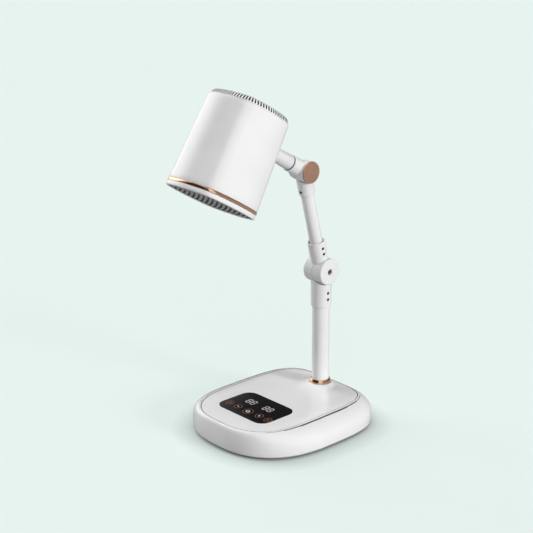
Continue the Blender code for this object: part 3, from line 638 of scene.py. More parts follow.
# base
baseSettings = {
    # height, half width, widest y, front y, front power, back y, back power
    "levels": ((3.0, 93.0, 0.0, -103.2, 2.5, 101.0, 3.6), (5.0, 94.6, 0.0, -104.9, 2.5, 102.5, 3.6),
               (14.0, 94.6, -2.0, -105.1, 2.5, 102.5, 3.7), (20.0, 93.2, -5.0, -104.7, 2.5, 102.0, 3.8),
               (25.0, 89.6, -9.0, -104.0, 2.55, 99.8, 4.1), (29.2, 84.2, -13.0, -103.2, 2.6, 96.8, 4.4),
               (31.8, 78.4, -17.0, -101.8, 2.68, 93.8, 4.7), (32.8, 75.0, -18.6, -100.4, 2.72, 92.2, 4.9),
               (33.2, 71.4, -20.0, -98.6, 2.75, 91.0, 5.0)),
    "topHeight": 33.2,
    "around": 120,
    "seam": (0.1, 0.95),        # the shell's lip and the panel's edge, in from the top outline
    "channel": (30.3, 32.95),   # heights of the channel under the seam, which is painted dark as shade
    "wall": 2.6,
}
inletSettings = {
    "back": 102.0, "height": 15.0, "depth": 12.6,
    # width, height and corner of the block, of its socket and of the hole in the shell
    "size": (20.0, 12.0, 1.4), "socket": (16.0, 8.0, 4.0), "hole": (20.8, 12.8, 1.5),
    "holeBack": 101.0,
    # the pins: sideways, foot, length and radius; the bridge: width, height, corner and sideways
    "pins": (4.4, 91.8, 8, 1.2), "bridge": (3.2, 1.5, 0.5, 3.55),
}


def levelAt(position):                  # a smooth curve through the levels; 1.5 is between 1 and 2
    levels = baseSettings["levels"]
    low = min(int(position), len(levels) - 2)
    t = position - low
    before, here, after, beyond = (levels[max(0, min(len(levels) - 1, low + step))]
                                   for step in (-1, 0, 1, 2))
    return [0.5 * (2 * b + (c - a) * t + (2 * a - 5 * b + 4 * c - d) * t ** 2
                   + (3 * b - a - 3 * c + d) * t ** 3)
            for a, b, c, d in zip(before, here, after, beyond)]


def baseOutline(level, inset=0.0, around=baseSettings["around"]):
    half, widest, front, frontPower, back, backPower = level[1:]
    points = []
    for a in evenAngles(around):
        c, s = math.cos(a), math.sin(a)
        power = backPower if s >= 0 else frontPower
        length = (back - widest if s >= 0 else widest - front) - inset
        reach = (abs(c) ** power + abs(s) ** power) ** (-1 / power)
        points.append(((half - inset) * reach * c, widest + length * reach * s))
    return points


def baseRing(level, inset=0.0, height=None):
    height = level[0] if height is None else height
    return [(x * mm, y * mm, height * mm) for x, y in baseOutline(level, inset)]


topLevel = baseSettings["levels"][-1]
topHeight = baseSettings["topHeight"]
lip, panelEdge = baseSettings["seam"]
shellRings = [baseRing(levelAt(0), 1.6), baseRing(levelAt(0), 0.8, 3.05), baseRing(levelAt(0.3), 0.15)]
shellRings += [baseRing(levelAt(1 + step / 4)) for step in range(28)]
shellRings += [baseRing(topLevel, inset, z) for z, inset in (
    (32.98, -0.9), (33.16, -0.35), (33.12, 0.05), (32.7, lip + 0.15), (30.4, lip + 0.2), (30.35, 4.0),
    (28.2, 4.0))]
shellRings += [baseRing(levelAt(4), 4.5), baseRing(levelAt(2), baseSettings["wall"]),
               baseRing(levelAt(0.3), baseSettings["wall"]), baseRing(levelAt(0), 2.3)]
baseShell = lofted("baseShell", shellRings, closedLoop=True)
inletHole = plate("inletHole", [roundedRectangle(*inletSettings["hole"])], -10, 10, 0.2)
inletHole.data.transform(Matrix.Translation(
    (0, inletSettings["holeBack"] * mm, inletSettings["height"] * mm)) @ towardUser)
carve(baseShell, [inletHole])
dress(baseShell, shellWhite, "base", ["base_shell"], second=slotShadow, angle=32)
channelLow, channelHigh = baseSettings["channel"]
outwardLeast = 0.02                     # how far out from the middle a wall that faces outwards looks


def outward(face):
    return face.normal.x * face.center.x + face.normal.y * face.center.y


for face in baseShell.data.polygons:            # the channel under the seam gets the second finish, painted shade
    if channelLow * mm < face.center.z < channelHigh * mm and outward(face) < outwardLeast:
        face.material_index = 1

# top panel: rays from the post's axis out to the seam, so that the boss flares out of the plate
panelSettings = {
    "rays": 192,
    "bossHeight": 3.4,
    "bossEdge": 15.6,
    "flare": (30.0, -12.0),     # radius and forward shift of where the flare meets the plate
    "ringSeat": 13.45,
    "postHole": 11.7,
    "shelf": 35.3,              # height that the foot ring stands on
    "flareSteps": 12,
    "flareShape": (1.25, 2.3),  # how the flare spreads out and falls
    "thickness": 2.5,
    "glass": (86.2, 58.8, 14.0, -39.6),
}
postX, postY = elbowAt.x / mm, elbowAt.y / mm
edgeOutline = baseOutline(topLevel, panelEdge, 480)


def reachTo(outline, angle):            # distance along a ray from the post to a closed outline
    c, s = math.cos(angle), math.sin(angle)
    best = 0
    for (x1, y1), (x2, y2) in zip(outline, outline[1:] + outline[:1]):
        u1, v1 = (x1 - postX) * c + (y1 - postY) * s, -(x1 - postX) * s + (y1 - postY) * c
        u2, v2 = (x2 - postX) * c + (y2 - postY) * s, -(x2 - postX) * s + (y2 - postY) * c
        if (v1 <= 0) != (v2 <= 0):
            best = max(best, u1 - v1 * (u2 - u1) / (v2 - v1))
    return best


flareRadius, flareShift = panelSettings["flare"]
panelRings = []
panelRays = evenAngles(panelSettings["rays"])
edgeReach = [reachTo(edgeOutline, a) for a in panelRays]
flareReach = []
for a in panelRays:
    along = flareShift * math.sin(a)
    flareReach.append(along + math.sqrt(flareRadius ** 2 - flareShift ** 2 * math.cos(a) ** 2))
low = topHeight - panelSettings["thickness"]
bossTop = topHeight + panelSettings["bossHeight"]
seatRadius, bossEdge = panelSettings["ringSeat"], panelSettings["bossEdge"]


def panelRing(distances, heights):
    return [((postX + d * math.cos(a)) * mm, (postY + d * math.sin(a)) * mm, z * mm)
            for a, d, z in zip(panelRays, distances, heights)]


rays = panelSettings["rays"]
postHole, shelf = panelSettings["postHole"], panelSettings["shelf"]
for radius, z in ((postHole, low), (postHole, shelf), (seatRadius, shelf), (seatRadius, bossTop - 0.4),
                  (seatRadius + 0.3, bossTop - 0.05), (bossEdge - 0.9, bossTop),
                  (bossEdge - 0.25, bossTop - 0.12)):
    panelRings.append(panelRing([radius] * rays, [z] * rays))
flareSteps = panelSettings["flareSteps"]
spreadPower, fallPower = panelSettings["flareShape"]
for step in range(flareSteps + 1):
    spread = (step / flareSteps) ** spreadPower
    distances = [bossEdge + (min(reach, edge - 1.5) - bossEdge) * spread
                 for reach, edge in zip(flareReach, edgeReach)]
    height = topHeight + (panelSettings["bossHeight"] - 0.35) * (1 - spread) ** fallPower
    panelRings.append(panelRing(distances, [height] * rays))
for share in (0.25, 0.5, 0.75):
    panelRings.append(panelRing(
        [min(reach, edge - 1.5) + (edge - 1.2 - min(reach, edge - 1.5)) * share
         for reach, edge in zip(flareReach, edgeReach)], [topHeight] * rays))
for back, z in ((0.45, topHeight), (0.18, topHeight - 0.06), (0.05, topHeight - 0.18),
                (0.0, topHeight - 0.35), (0.0, low)):
    panelRings.append(panelRing([edge - back for edge in edgeReach], [z] * rays))
topPanel = lofted("topPanel", panelRings, closedLoop=True)
glassWidth, glassDepth, glassCorner, glassY = panelSettings["glass"]
glassPocket = plate("glassPocket", [roundedRectangle(
    glassWidth + 0.6, glassDepth + 0.6, glassCorner + 0.3, 0, glassY, 14)], 31.4, 36, 0.1)
carve(topPanel, [glassPocket])
dress(topPanel, shellWhite, "base", ["top_panel"], second=slotShadow, angle=30)
for face in topPanel.data.polygons:             # the edge that faces the channel gets the second finish, painted shade
    if low * mm < face.center.z < (topHeight - 0.3) * mm and outward(face) > outwardLeast:
        face.material_index = 1
print("base shell and top panel made")

# touch panel with its digits, keys and marks
touchSettings = {
    "surface": 33.4,
    "printHeight": 0.07,
    "digitCentres": ((-19.9, -32.3), (-11.8, -32.3), (10.2, -32.0), (18.3, -32.0)),
    "digit": (6.3, 11.4, 1.35),     # width, height, stroke
    "keys": ((-33.0, -53.0, 5.1), (-17.5, -52.9, 5.1), (1.9, -54.0, 6.6), (21.2, -52.9, 5.1),
             (36.6, -52.8, 5.1)),
    "keyLine": 0.55,
}
touchGlass = plate("touchGlass", [roundedRectangle(
    glassWidth, glassDepth, glassCorner - 0.2, 0, glassY, 14)], 31.85, touchSettings["surface"], 0.3)
dress(touchGlass, panelBlack, "base", ["touch_glass"], angle=35)


def flatPrint(name, shapes):            # thin slabs, each a convex outline in mm
    points, faces = [], []
    lowZ = touchSettings["surface"] + 0.005
    highZ = lowZ + touchSettings["printHeight"]
    for outline in shapes:
        start, count = len(points), len(outline)
        points += [(x * mm, y * mm, lowZ * mm) for x, y in outline]
        points += [(x * mm, y * mm, highZ * mm) for x, y in outline]
        faces.append(tuple(start + i for i in reversed(range(count))))
        faces.append(tuple(start + count + i for i in range(count)))
        for i in range(count):
            j = (i + 1) % count
            faces.append((start + i, start + j, start + count + j, start + count + i))
    return meshPiece(name, points, faces)


def segmentBar(x, y, length, stroke, upright):
    half, side = length / 2, stroke / 2
    outline = [(-half, 0), (-half + side, -side), (half - side, -side), (half, 0),
               (half - side, side), (-half + side, side)]
    if upright:
        outline = [(-b, a) for a, b in outline]
    return [(x + a, y + b) for a, b in outline]


def strokeLine(x1, y1, x2, y2, width):
    length = math.hypot(x2 - x1, y2 - y1)
    nx, ny = -(y2 - y1) / length * width / 2, (x2 - x1) / length * width / 2
    return [(x1 - nx, y1 - ny), (x2 - nx, y2 - ny), (x2 + nx, y2 + ny), (x1 + nx, y1 + ny)]


def arcStrokes(x, y, radius, width, fromTurn, toTurn, steps):
    shapes = []
    for i in range(steps):
        a1 = math.radians(fromTurn + (toTurn - fromTurn) * i / steps)
        a2 = math.radians(fromTurn + (toTurn - fromTurn) * (i + 1) / steps)
        inner, outer = radius - width / 2, radius + width / 2
        shapes.append([(x + inner * math.cos(a1), y + inner * math.sin(a1)),
                       (x + outer * math.cos(a1), y + outer * math.sin(a1)),
                       (x + outer * math.cos(a2), y + outer * math.sin(a2)),
                       (x + inner * math.cos(a2), y + inner * math.sin(a2))])
    return shapes


digitWidth, digitHeight, stroke = touchSettings["digit"]
segments = []
for x, y in touchSettings["digitCentres"]:
    across, rise = digitWidth - stroke - 0.3, (digitHeight - stroke) / 2
    for step in (-1, 0, 1):
        segments.append(segmentBar(x, y + step * rise, across, stroke, False))
    for side in (-1, 1):
        for step in (-0.5, 0.5):
            segments.append(segmentBar(x + side * (digitWidth - stroke) / 2, y + step * rise,
                                       rise - 0.3, stroke, True))
digitSegments = flatPrint("digitSegments", segments)
dress(digitSegments, digitLight, "base")

for number, (x, y, radius) in enumerate(touchSettings["keys"], 1):
    keyRing = flatPrint(f"keyRing{number}", arcStrokes(x, y, radius, touchSettings["keyLine"], 0, 360, 40))
    dress(keyRing, keyBronze, "base")
icons = []
x, y, radius = touchSettings["keys"][2]         # middle key: on and off
icons += arcStrokes(x, y - 0.2, 2.3, 0.75, 125, 415, 18)
icons.append(strokeLine(x, y + 0.2, x, y + 3.0, 0.75))
x, y, radius = touchSettings["keys"][1]         # lower
icons.append(strokeLine(x - 1.5, y, x + 1.5, y, 0.7))
x, y, radius = touchSettings["keys"][3]         # higher
icons.append(strokeLine(x - 1.5, y, x + 1.5, y, 0.6))
icons.append(strokeLine(x, y + 0.35, x, y + 1.5, 0.6))
icons.append(strokeLine(x, y - 1.5, x, y - 0.35, 0.6))
iconMarks = flatPrint("iconMarks", icons)
dress(iconMarks, iconWhite, "base")
sideMarks = []
x, y, radius = touchSettings["keys"][0]         # timer: a dial hand in a small ring
sideMarks += arcStrokes(x, y, 2.3, 0.5, 0, 360, 18)
sideMarks.append(strokeLine(x, y, x + 1.1, y + 1.1, 0.5))
x, y, radius = touchSettings["keys"][4]         # air flow: three short waves
for rise in (-1.3, 0, 1.3):
    sideMarks.append(strokeLine(x - 2.1, y + rise - 0.25, x - 0.1, y + rise + 0.25, 0.5))
    sideMarks.append(strokeLine(x + 0.1, y + rise + 0.25, x + 2.1, y + rise - 0.25, 0.5))
sideIcons = flatPrint("sideIcons", sideMarks)
dress(sideIcons, keyBronze, "base")
dashes = []
for x, y, radius in touchSettings["keys"]:      # plain dashes where small captions would be
    for offset in (-1.6, 0.4):
        dashes.append(strokeLine(x + offset, y - radius - 1.9, x + offset + 1.3, y - radius - 1.9, 0.4))
keyDashes = flatPrint("keyDashes", dashes)
dress(keyDashes, labelGrey, "base")
print("touch panel made")

# foot: pad, polished ring and the inlet at the back
padRings = [baseRing(levelAt(0), inset, z) for z, inset in (
    (0.0, 6.2), (0.0, 5.6), (0.5, 5.05), (2.3, 5.0), (2.7, 5.4), (2.7, 6.2))]
footPad = lofted("footPad", padRings)
dress(footPad, rubberBlack, "base", ["foot_pad"], angle=40)

footRing = turned("footRing", ((11.75, 41.6), (12.15, 41.1), (12.6, 40.1), (12.98, 38.9), (13.22, 37.7),
                               (13.3, 36.7), (13.3, 36.0), (12.9, 35.5), (11.4, 35.5), (11.4, 41.4),
                               (11.55, 41.6)), postPlace, 128, 0.1)
dress(footRing, roseGold, "base", ["foot_ring"])

inletPlace = Matrix.Translation((0, inletSettings["back"] * mm, inletSettings["height"] * mm)) @ towardUser
powerInlet = plate("powerInlet", [roundedRectangle(*inletSettings["size"])], 0, inletSettings["depth"], 0.3)
socketCut = plate("socketCut", [roundedRectangle(*inletSettings["socket"])], -4, 10.5, 0.1)
bridgeWidth, bridgeHeight, bridgeCorner, bridgeAt = inletSettings["bridge"]
bridge = [plate(f"bridge{side}", [roundedRectangle(
    bridgeWidth, bridgeHeight, bridgeCorner, 0, side * bridgeAt, 4)], 0.6, 12.0, 0.1)
    for side in (-1, 1)]                # the waist of the figure-8 socket
carve(powerInlet, [socketCut])
carve(powerInlet, bridge, "UNION")
dress(powerInlet, blackPlastic, "base", ["power_inlet"], place=inletPlace, angle=35)
pinSide, pinFoot, pinLength, pinRadius = inletSettings["pins"]
for side, name in ((-1, "left"), (1, "right")):
    pinPlace = Matrix.Translation((side * pinSide * mm, pinFoot * mm, inletSettings["height"] * mm))
    pin = turned(f"inletPin{name.capitalize()}", (
        (0, pinLength), (pinRadius - 0.45, pinLength), (pinRadius, pinLength - 0.7),
        (pinRadius, 0), (0, 0)), pinPlace @ Matrix.Rotation(-math.pi / 2, 4, "X"), 32, 0.1, 2)
    dress(pin, brassWire, "base", [f"inlet_pin_{name}"])
print("foot made")

# post and arm
castingSettings = {"voxel": 0.42, "smoothing": 8, "twist": 0.011}


def casting(name, solids, cuts, place):
    # turned solids joined, cut and softened as a die casting is; each is twisted a little about its
    # own axis, so that no two tools share a facet's edge
    tools = []
    for number, (profile, turn) in enumerate(solids + cuts):
        twist = Matrix.Rotation(castingSettings["twist"] * number, 4, "Z")
        tools.append(turned(f"{name}Tool{number}", profile, turn @ twist, 72, 0))
    body = tools.pop(0)
    body.name = name
    joined = len(solids) - 1
    carve(body, tools[:joined], "UNION")
    for tool in tools[joined:]:
        carve(body, [tool])
    remesh = body.modifiers.new("skin", "REMESH")
    remesh.mode = "VOXEL"
    remesh.voxel_size = castingSettings["voxel"] * mm
    smoothing = body.modifiers.new("fettled", "SMOOTH")
    smoothing.factor = 0.5
    smoothing.iterations = castingSettings["smoothing"]
    settle(body, place)
    shade(body, 55)
    return body


def barrelHalf(radius, half, edge):
    return ((0, half), (radius - edge, half), (radius - edge * 0.3, half - edge * 0.3),
            (radius, half - edge), (radius, 0), (0, 0))


def rod(radius, low, high):
    return ((0, high), (radius, high), (radius, low), (0, low))


unturned = Matrix.Identity(4)
postTube = turned("postTube", ((11, 166), (11, 16), (9.5, 16), (9.5, 166)), postPlace, 128, 0.3)
dress(postTube, paintWhite, "post", ["post_tube"])


def sideways(height):                   # a hole that opens on the +X side, at a height
    return Matrix.Translation((0, 0, height * mm)) @ towardRight


def frontways(height):                  # a hole that opens toward the user, at a height
    return Matrix.Translation((0, 0, height * mm)) @ towardUser


boltHole = (2.8, -40, 40)


def knuckle(name, settings, barrelWay, stemWay, screwWay, place):
    # half a barrel on a stem, cut free of the half that it turns against
    otherWay = towardRight if barrelWay is towardLeft else towardLeft
    solids = [(barrelHalf(*settings["barrel"]), barrelWay), (rod(*settings["stem"]), stemWay)]
    cuts = [(rod(*settings["otherHalf"]), otherWay), (rod(*boltHole), towardRight)]
    cuts += [(rod(*seat), stemWay) for seat in settings["tubeSeats"]]
    cuts += [(rod(*settings["screwHole"]), screwWay(height)) for height in settings["screwHeights"]]
    cuts.append((rod(*settings["washer"]), towardRight))
    cuts += [(rod(*seat), barrelWay) for seat in settings["endSeats"]]
    return casting(name, solids, cuts, place)


# barrels are radius, half width and edge; everything else round is radius, start and end
lowerKnuckleSettings = {
    "barrel": (16.8, 15.7, 1.5), "stem": (13, 0, 47), "otherHalf": (17.4, -0.3, 30),
    "tubeSeats": ((11.3, 20.8, 48),), "washer": (12.5, -0.9, 0.9), "endSeats": ((5, 10.2, 17),),
    "screwHole": (1.9, 10, 14), "screwHeights": (-28.5, -37),
}
lowerKnuckle = knuckle("lowerKnuckle", lowerKnuckleSettings, towardLeft, upsideDown, sideways, elbowPlace)
dress(lowerKnuckle, paintWhite, "post", ["lower_knuckle"])

upperKnuckleSettings = {
    "barrel": (16.8, 15.7, 1.5), "stem": (11, 0, 41), "otherHalf": (17.4, -0.3, 30),
    "tubeSeats": ((8.3, 20.6, 42), (9.7, 34.5, 42)), "washer": (12.5, -0.9, 0.9),
    "endSeats": ((3.7, 10.2, 17),), "screwHole": (1.9, 7.5, 12), "screwHeights": (24.5, 32),
}
upperKnuckle = knuckle("upperKnuckle", upperKnuckleSettings, towardRight, unturned, sideways, armPlace)
dress(upperKnuckle, paintWhite, "upper_arm", ["upper_knuckle"])

upperTube = turned("upperTube", ((8, 118.8), (8, 21), (6.6, 21), (6.6, 118.8)), armPlace, 96, 0.2)
dress(upperTube, paintWhite, "upper_arm", ["upper_tube"])

armFerruleSettings = {
    "barrel": (12, 11, 1.2), "stem": (10, 0, 31), "otherHalf": (13.8, -0.3, 30),
    "tubeSeats": ((8.3, 17.6, 32),), "washer": (8.6, -0.8, 0.8), "endSeats": (),
    "screwHole": (1.9, 7.5, 12), "screwHeights": (-25.5,),
}
armFerrule = knuckle("armFerrule", armFerruleSettings, towardLeft, upsideDown, frontways, armTopPlace)
dress(armFerrule, paintWhite, "upper_arm", ["arm_ferrule"])

tiltFarCap = turned("tiltFarCap", ((0, 14.3), (3.4, 14.3), (3.8, 14.0), (8.6, 14.0), (9.0, 14.3),
                                   (10.2, 14.3), (11, 13.4), (11, 11.3), (3.2, 11.3), (3.2, 12.6),
                                   (0, 12.6)), armTopPlace @ towardLeft, 96, 0.2)
dress(tiltFarCap, shellWhite, "upper_arm", ["tilt_far_cap"])

neckKnuckleSettings = {
    "barrel": (13.2, 13.2, 0.8), "stem": (10.5, 0, 26), "otherHalf": (13.4, -0.3, 30),
    "tubeSeats": ((6.9, 15, 27),), "washer": (8.6, -0.8, 0.8), "endSeats": ((4.5, 9, 14),),
    "screwHole": (1.9, 7.5, 12), "screwHeights": (),
}
neckKnuckle = knuckle("neckKnuckle", neckKnuckleSettings, towardRight, unturned, frontways, neckPlace)
dress(neckKnuckle, paintWhite, "neck", ["neck_knuckle"])

tiltCap = turned("tiltCap", (
    (0, 15.55), (2.6, 15.55), (3.0, 15.85), (4.6, 15.85), (5.0, 15.5), (9.4, 15.5), (9.9, 15.8),
    (12.5, 15.8), (13.3, 15.3), (13.5, 14.6), (13.5, 13.5), (0, 13.5)), neckPlace @ towardRight, 128, 0.12)
dress(tiltCap, bronze, "neck", ["tilt_cap"])

neckSeal = turned("neckSeal", ((9.6, 27.2), (9.6, 26.3), (7.0, 26.3), (7.0, 27.2)), neckPlace, 96, 0.1)
dress(neckSeal, sealGrey, "neck", ["neck_seal"])

# screws with hexagon sockets, shared by the set screws and the elbow bolt
lowerFirst, lowerSecond = lowerKnuckleSettings["screwHeights"]
upperFirst, upperSecond = upperKnuckleSettings["screwHeights"]
ferruleAt = armFerruleSettings["screwHeights"][0]
screwSettings = {
    # node, body, place, radius, foot, head and the socket's radius
    "lowerSetScrew1": ("lower_set_screw_1", "post", elbowPlace @ sideways(lowerFirst),
                       1.6, 11.3, 12.6, 0.85),
    "lowerSetScrew2": ("lower_set_screw_2", "post", elbowPlace @ sideways(lowerSecond),
                       1.6, 11.3, 12.6, 0.85),
    "upperSetScrew1": ("upper_set_screw_1", "upper_arm", armPlace @ sideways(upperFirst),
                       1.6, 8.3, 10.3, 0.85),
    "upperSetScrew2": ("upper_set_screw_2", "upper_arm", armPlace @ sideways(upperSecond),
                       1.6, 8.3, 10.3, 0.85),
    "ferruleScrew": ("ferrule_screw", "upper_arm", armTopPlace @ frontways(ferruleAt),
                       1.6, 8.25, 9.5, 0.85),
    "elbowBolt": ("elbow_bolt", "upper_arm", armPlace @ towardRight, 3.35, 10.5, 13.6, 1.7),
}
for name, (node, body, place, radius, screwLow, screwHigh, key) in screwSettings.items():
    profile = [(0, screwHigh), (radius - 0.2, screwHigh), (radius, screwHigh - 0.2), (radius, screwLow)]
    if node == "elbow_bolt":
        profile += [(2.3, screwLow), (2.3, -15), (0, -15)]
    else:
        profile += [(0, screwLow)]
    screwPiece = turned(name, profile, unturned, 48, 0.08, 2)
    hexagon = [(key * math.cos(a), key * math.sin(a)) for a in evenAngles(6)]
    socketTool = plate(name + "Socket", [hexagon], screwHigh - key * 1.1, screwHigh + 1, 0.01)
    carve(screwPiece, [socketTool])
    dress(screwPiece, boltGrey if node == "elbow_bolt" else screwBlack, body, [node],
          place=place, angle=30)
print("post, arm and screws made")

# head
headSettings = {
    "top": 29.3, "outlet": -85.6,           # along the head's own axis
    "halfTop": 43.8, "halfOutlet": 48.2,
    "bulge": 2.0, "corner": 0.42,           # side and corner radii over the half width
    "wall": 2.4,
    "trim": (-76.4, -79.8),
    "around": 160,
}
bulgeBack = headSettings["bulge"] - 1
cornerAt = (-bulgeBack + math.sqrt(2 * (headSettings["bulge"] - headSettings["corner"]) ** 2
                                   - bulgeBack ** 2)) / 2
cornerTurn = math.atan2(cornerAt, cornerAt + bulgeBack)


def headHalf(z):
    share = (z - headSettings["outlet"]) / (headSettings["top"] - headSettings["outlet"])
    return headSettings["halfOutlet"] + (headSettings["halfTop"] - headSettings["halfOutlet"]) * share


def headPoint(half, normalTurn, inset=0.0):     # the outline's point whose normal has this turn
    side = math.floor(normalTurn / (math.pi / 2) + 0.5)
    a = normalTurn - side * math.pi / 2
    if abs(a) <= cornerTurn:
        x = -bulgeBack + headSettings["bulge"] * math.cos(a)
        y = headSettings["bulge"] * math.sin(a)
    else:
        x = cornerAt + headSettings["corner"] * math.cos(a)
        y = math.copysign(cornerAt, a) + headSettings["corner"] * math.sin(a)
    turn = side * math.pi / 2
    return (half * (x * math.cos(turn) - y * math.sin(turn)) - inset * math.cos(normalTurn),
            half * (x * math.sin(turn) + y * math.cos(turn)) - inset * math.sin(normalTurn))


def evenTurns(count):                           # normal turns that are evenly spaced along the outline
    fineSteps = 4000
    fine = [2 * math.pi * i / fineSteps for i in range(fineSteps + 1)]
    spots = [headPoint(1, a) for a in fine]
    run = [0.0]
    for (x1, y1), (x2, y2) in zip(spots, spots[1:]):
        run.append(run[-1] + math.hypot(x2 - x1, y2 - y1))
    turns, at = [], 0
    for i in range(count):
        goal = run[-1] * i / count
        while run[at + 1] < goal:
            at += 1
        share = (goal - run[at]) / (run[at + 1] - run[at])
        turns.append(fine[at] + (fine[at + 1] - fine[at]) * share)
    return turns


headTurns = evenTurns(headSettings["around"])


def headRing(z, inset=0.0):
    return [(x * mm, y * mm, z * mm) for x, y in (headPoint(headHalf(z), a, inset) for a in headTurns)]


top, wall = headSettings["top"], headSettings["wall"]
trimTop, trimBottom = headSettings["trim"]
shellLow = trimTop + 0.3
headShell = lofted("headShell", [headRing(z, inset) for z, inset in (
    (top, 0.75), (top - 0.1, 0.35), (top - 0.45, 0.08), (top - 1.2, 0), (top - 6, 0), (top - 20, 0),
    (top - 40, 0), (top - 60, 0), (top - 80, 0), (shellLow + 6, 0), (shellLow + 0.5, 0),
    (shellLow + 0.1, 0.15), (shellLow, 0.4), (shellLow, wall), (top - 60, wall), (top, wall))],
    closedLoop=True)
neckHole = turned("neckHole", rod(8.6, 30, 60), Matrix.Rotation(-math.pi / 2, 4, "X"), 96, 0)
carve(headShell, [neckHole])
dress(headShell, shellWhite, "head", ["head_shell"], place=headPlace, angle=32)

# intake cap: ribs with sunken slots that run up the slope, over the edge and in along the top
capSettings = {
    "slots": 72,
    "rib": (0.02, 0.48, 0.54, 0.96),            # rib start and end, slot start and end, in one pitch
    "pitchSteps": 25,
    # rib height, rib inset, slot floor height, slot floor inset
    "rows": ((1.5, 1.35, 1.5, 1.35), (1.55, 1.35, 1.6, 3.6), (3.2, 2.15, 3.0, 4.4),
             (4.8, 3.1, 4.6, 5.3), (6.3, 4.2, 6.2, 6.2), (6.5, 4.4, 6.5, 4.4)),
}
slotCount, pitchSteps = capSettings["slots"], capSettings["pitchSteps"]
pitchTurns = evenTurns(slotCount * pitchSteps)
capTurns, sunken = [], []
for slotNumber in range(slotCount):
    for share, deep in zip(capSettings["rib"], (False, False, True, True)):
        capTurns.append(pitchTurns[slotNumber * pitchSteps + int(share * pitchSteps)])
        sunken.append(deep)


def capRing(ribZ, ribInset, floorZ, floorInset):
    ring = []
    for a, deep in zip(capTurns, sunken):
        z, inset = (floorZ, floorInset) if deep else (ribZ, ribInset)
        x, y = headPoint(headHalf(top), a, inset)
        ring.append((x * mm, y * mm, (top + z) * mm))
    return ring


capRings = [capRing(z, inset, z, inset) for z, inset in (
    (-5, 3.5), (-5, 2.8), (0.3, 2.7), (0.3, 1.6), (0.45, 1.4))]
slopeRow = len(capRings)
capRings += [capRing(*row) for row in capSettings["rows"]]
capRings += [capRing(z, inset, z, inset) for z, inset in (
    (7.1, 5.2), (7.6, 6.5), (7.8, 8.4), (7.8, 13.9), (7.7, 14.3), (7.45, 14.8), (7.4, 15.4))]
intakeCap = lofted("intakeCap", capRings)
dress(intakeCap, shellWhite, "head", ["intake_cap"], second=slotShadow,
      place=headPlace, angle=30)
ringCount = len(capTurns)
slopeRows = range(slopeRow + 1, slopeRow + len(capSettings["rows"]) - 1)
# the slot faces on the slope get the second finish: painted shade in the slots
for face in intakeCap.data.polygons:
    spots = [(v // ringCount, sunken[v % ringCount]) for v in face.vertices]
    inSlot = any(deep for row, deep in spots) and all(row in slopeRows for row, deep in spots)
    if len(spots) == 4 and inSlot:
        face.material_index = 1

trimRing = lofted("trimRing", [headRing(z, inset) for z, inset in (
    (trimTop, 0.1), (trimTop - 0.12, -0.1), (trimTop - 0.4, -0.2), (trimBottom + 0.4, -0.2),
    (trimBottom + 0.12, -0.1), (trimBottom, 0.1), (trimBottom, wall), (trimTop, wall))],
    closedLoop=True)
dress(trimRing, roseGold, "head", ["trim_ring"], place=headPlace, angle=40)

outlet, bezelTop = headSettings["outlet"], trimBottom - 0.3
outletBezel = lofted("outletBezel", [headRing(z, inset) for z, inset in (
    (bezelTop, 0.35), (bezelTop - 0.12, 0.08), (bezelTop - 0.5, 0), (outlet + 1.8, 0.05),
    (outlet + 1.0, 0.2), (outlet + 0.4, 0.55), (outlet + 0.1, 1.05), (outlet, 1.5), (outlet + 0.12, 1.95),
    (outlet + 0.5, 2.3), (outlet + 1.4, 2.5), (outlet + 3.0, 2.5), (bezelTop, 2.5))], closedLoop=True)
dress(outletBezel, shellWhite, "head", ["outlet_bezel"], place=headPlace, angle=40)

grilleSettings = {
    "turn": -42.0, "pitch": 5.55, "slats": 17,
    "low": 0.9, "high": 7.6,                    # above the outlet face
    "ring": (2.8, 4.2),
    "stations": 9, "bow": 1.6,                  # steps along a slat, and how far its middle bows
    # a slat's section: across the pitch, up from the outlet face
    "section": ((-2.9, 0.9), (-1.8, 0.5), (-0.3, 1.0), (1.2, 2.3), (2.4, 4.3), (1.7, 4.5),
                (0.3, 3.1), (-1.0, 1.9), (-2.4, 1.6)),
}
grilleLow, grilleHigh = outlet + grilleSettings["low"], outlet + grilleSettings["high"]
ringOut, ringIn = grilleSettings["ring"]
slatTurn = math.radians(grilleSettings["turn"])
wallOutline = [headPoint(headHalf(grilleLow), a, (ringOut + ringIn) / 2) for a in headTurns]


def crossings(offset):                  # where a slat's line meets the middle of the ring wall
    c, s = math.cos(slatTurn), math.sin(slatTurn)
    spots = [(x * c + y * s, -x * s + y * c) for x, y in wallOutline]
    found = []
    for (u1, v1), (u2, v2) in zip(spots, spots[1:] + spots[:1]):
        if (v1 - offset) * (v2 - offset) < 0:
            found.append(u1 + (u2 - u1) * (offset - v1) / (v2 - v1))
    return min(found), max(found)


slatPoints, slatFaces = [], []
section, stations, bow = grilleSettings["section"], grilleSettings["stations"], grilleSettings["bow"]
for slatNumber in range(grilleSettings["slats"]):
    middle = (slatNumber - (grilleSettings["slats"] - 1) / 2) * grilleSettings["pitch"]
    start, end = crossings(middle)
    first, count = len(slatPoints), len(section)
    for station in range(stations):
        u = start + (end - start) * station / (stations - 1)
        lean = bow * (1 - (2 * station / (stations - 1) - 1) ** 2)
        for across, up in section:
            v = middle + across + lean - bow / 2
            slatPoints.append(((u * math.cos(slatTurn) - v * math.sin(slatTurn)) * mm,
                               (u * math.sin(slatTurn) + v * math.cos(slatTurn)) * mm,
                               (outlet + up) * mm))
    for station in range(stations - 1):
        here = first + station * count
        for i in range(count):
            j = (i + 1) % count
            slatFaces.append((here + i, here + j, here + count + j, here + count + i))
    slatFaces.append(tuple(first + i for i in range(count)))
    slatFaces.append(tuple(first + (stations - 1) * count + i for i in range(count)))
outletSlats = turnOutwards(meshPiece("outletSlats", slatPoints, slatFaces))
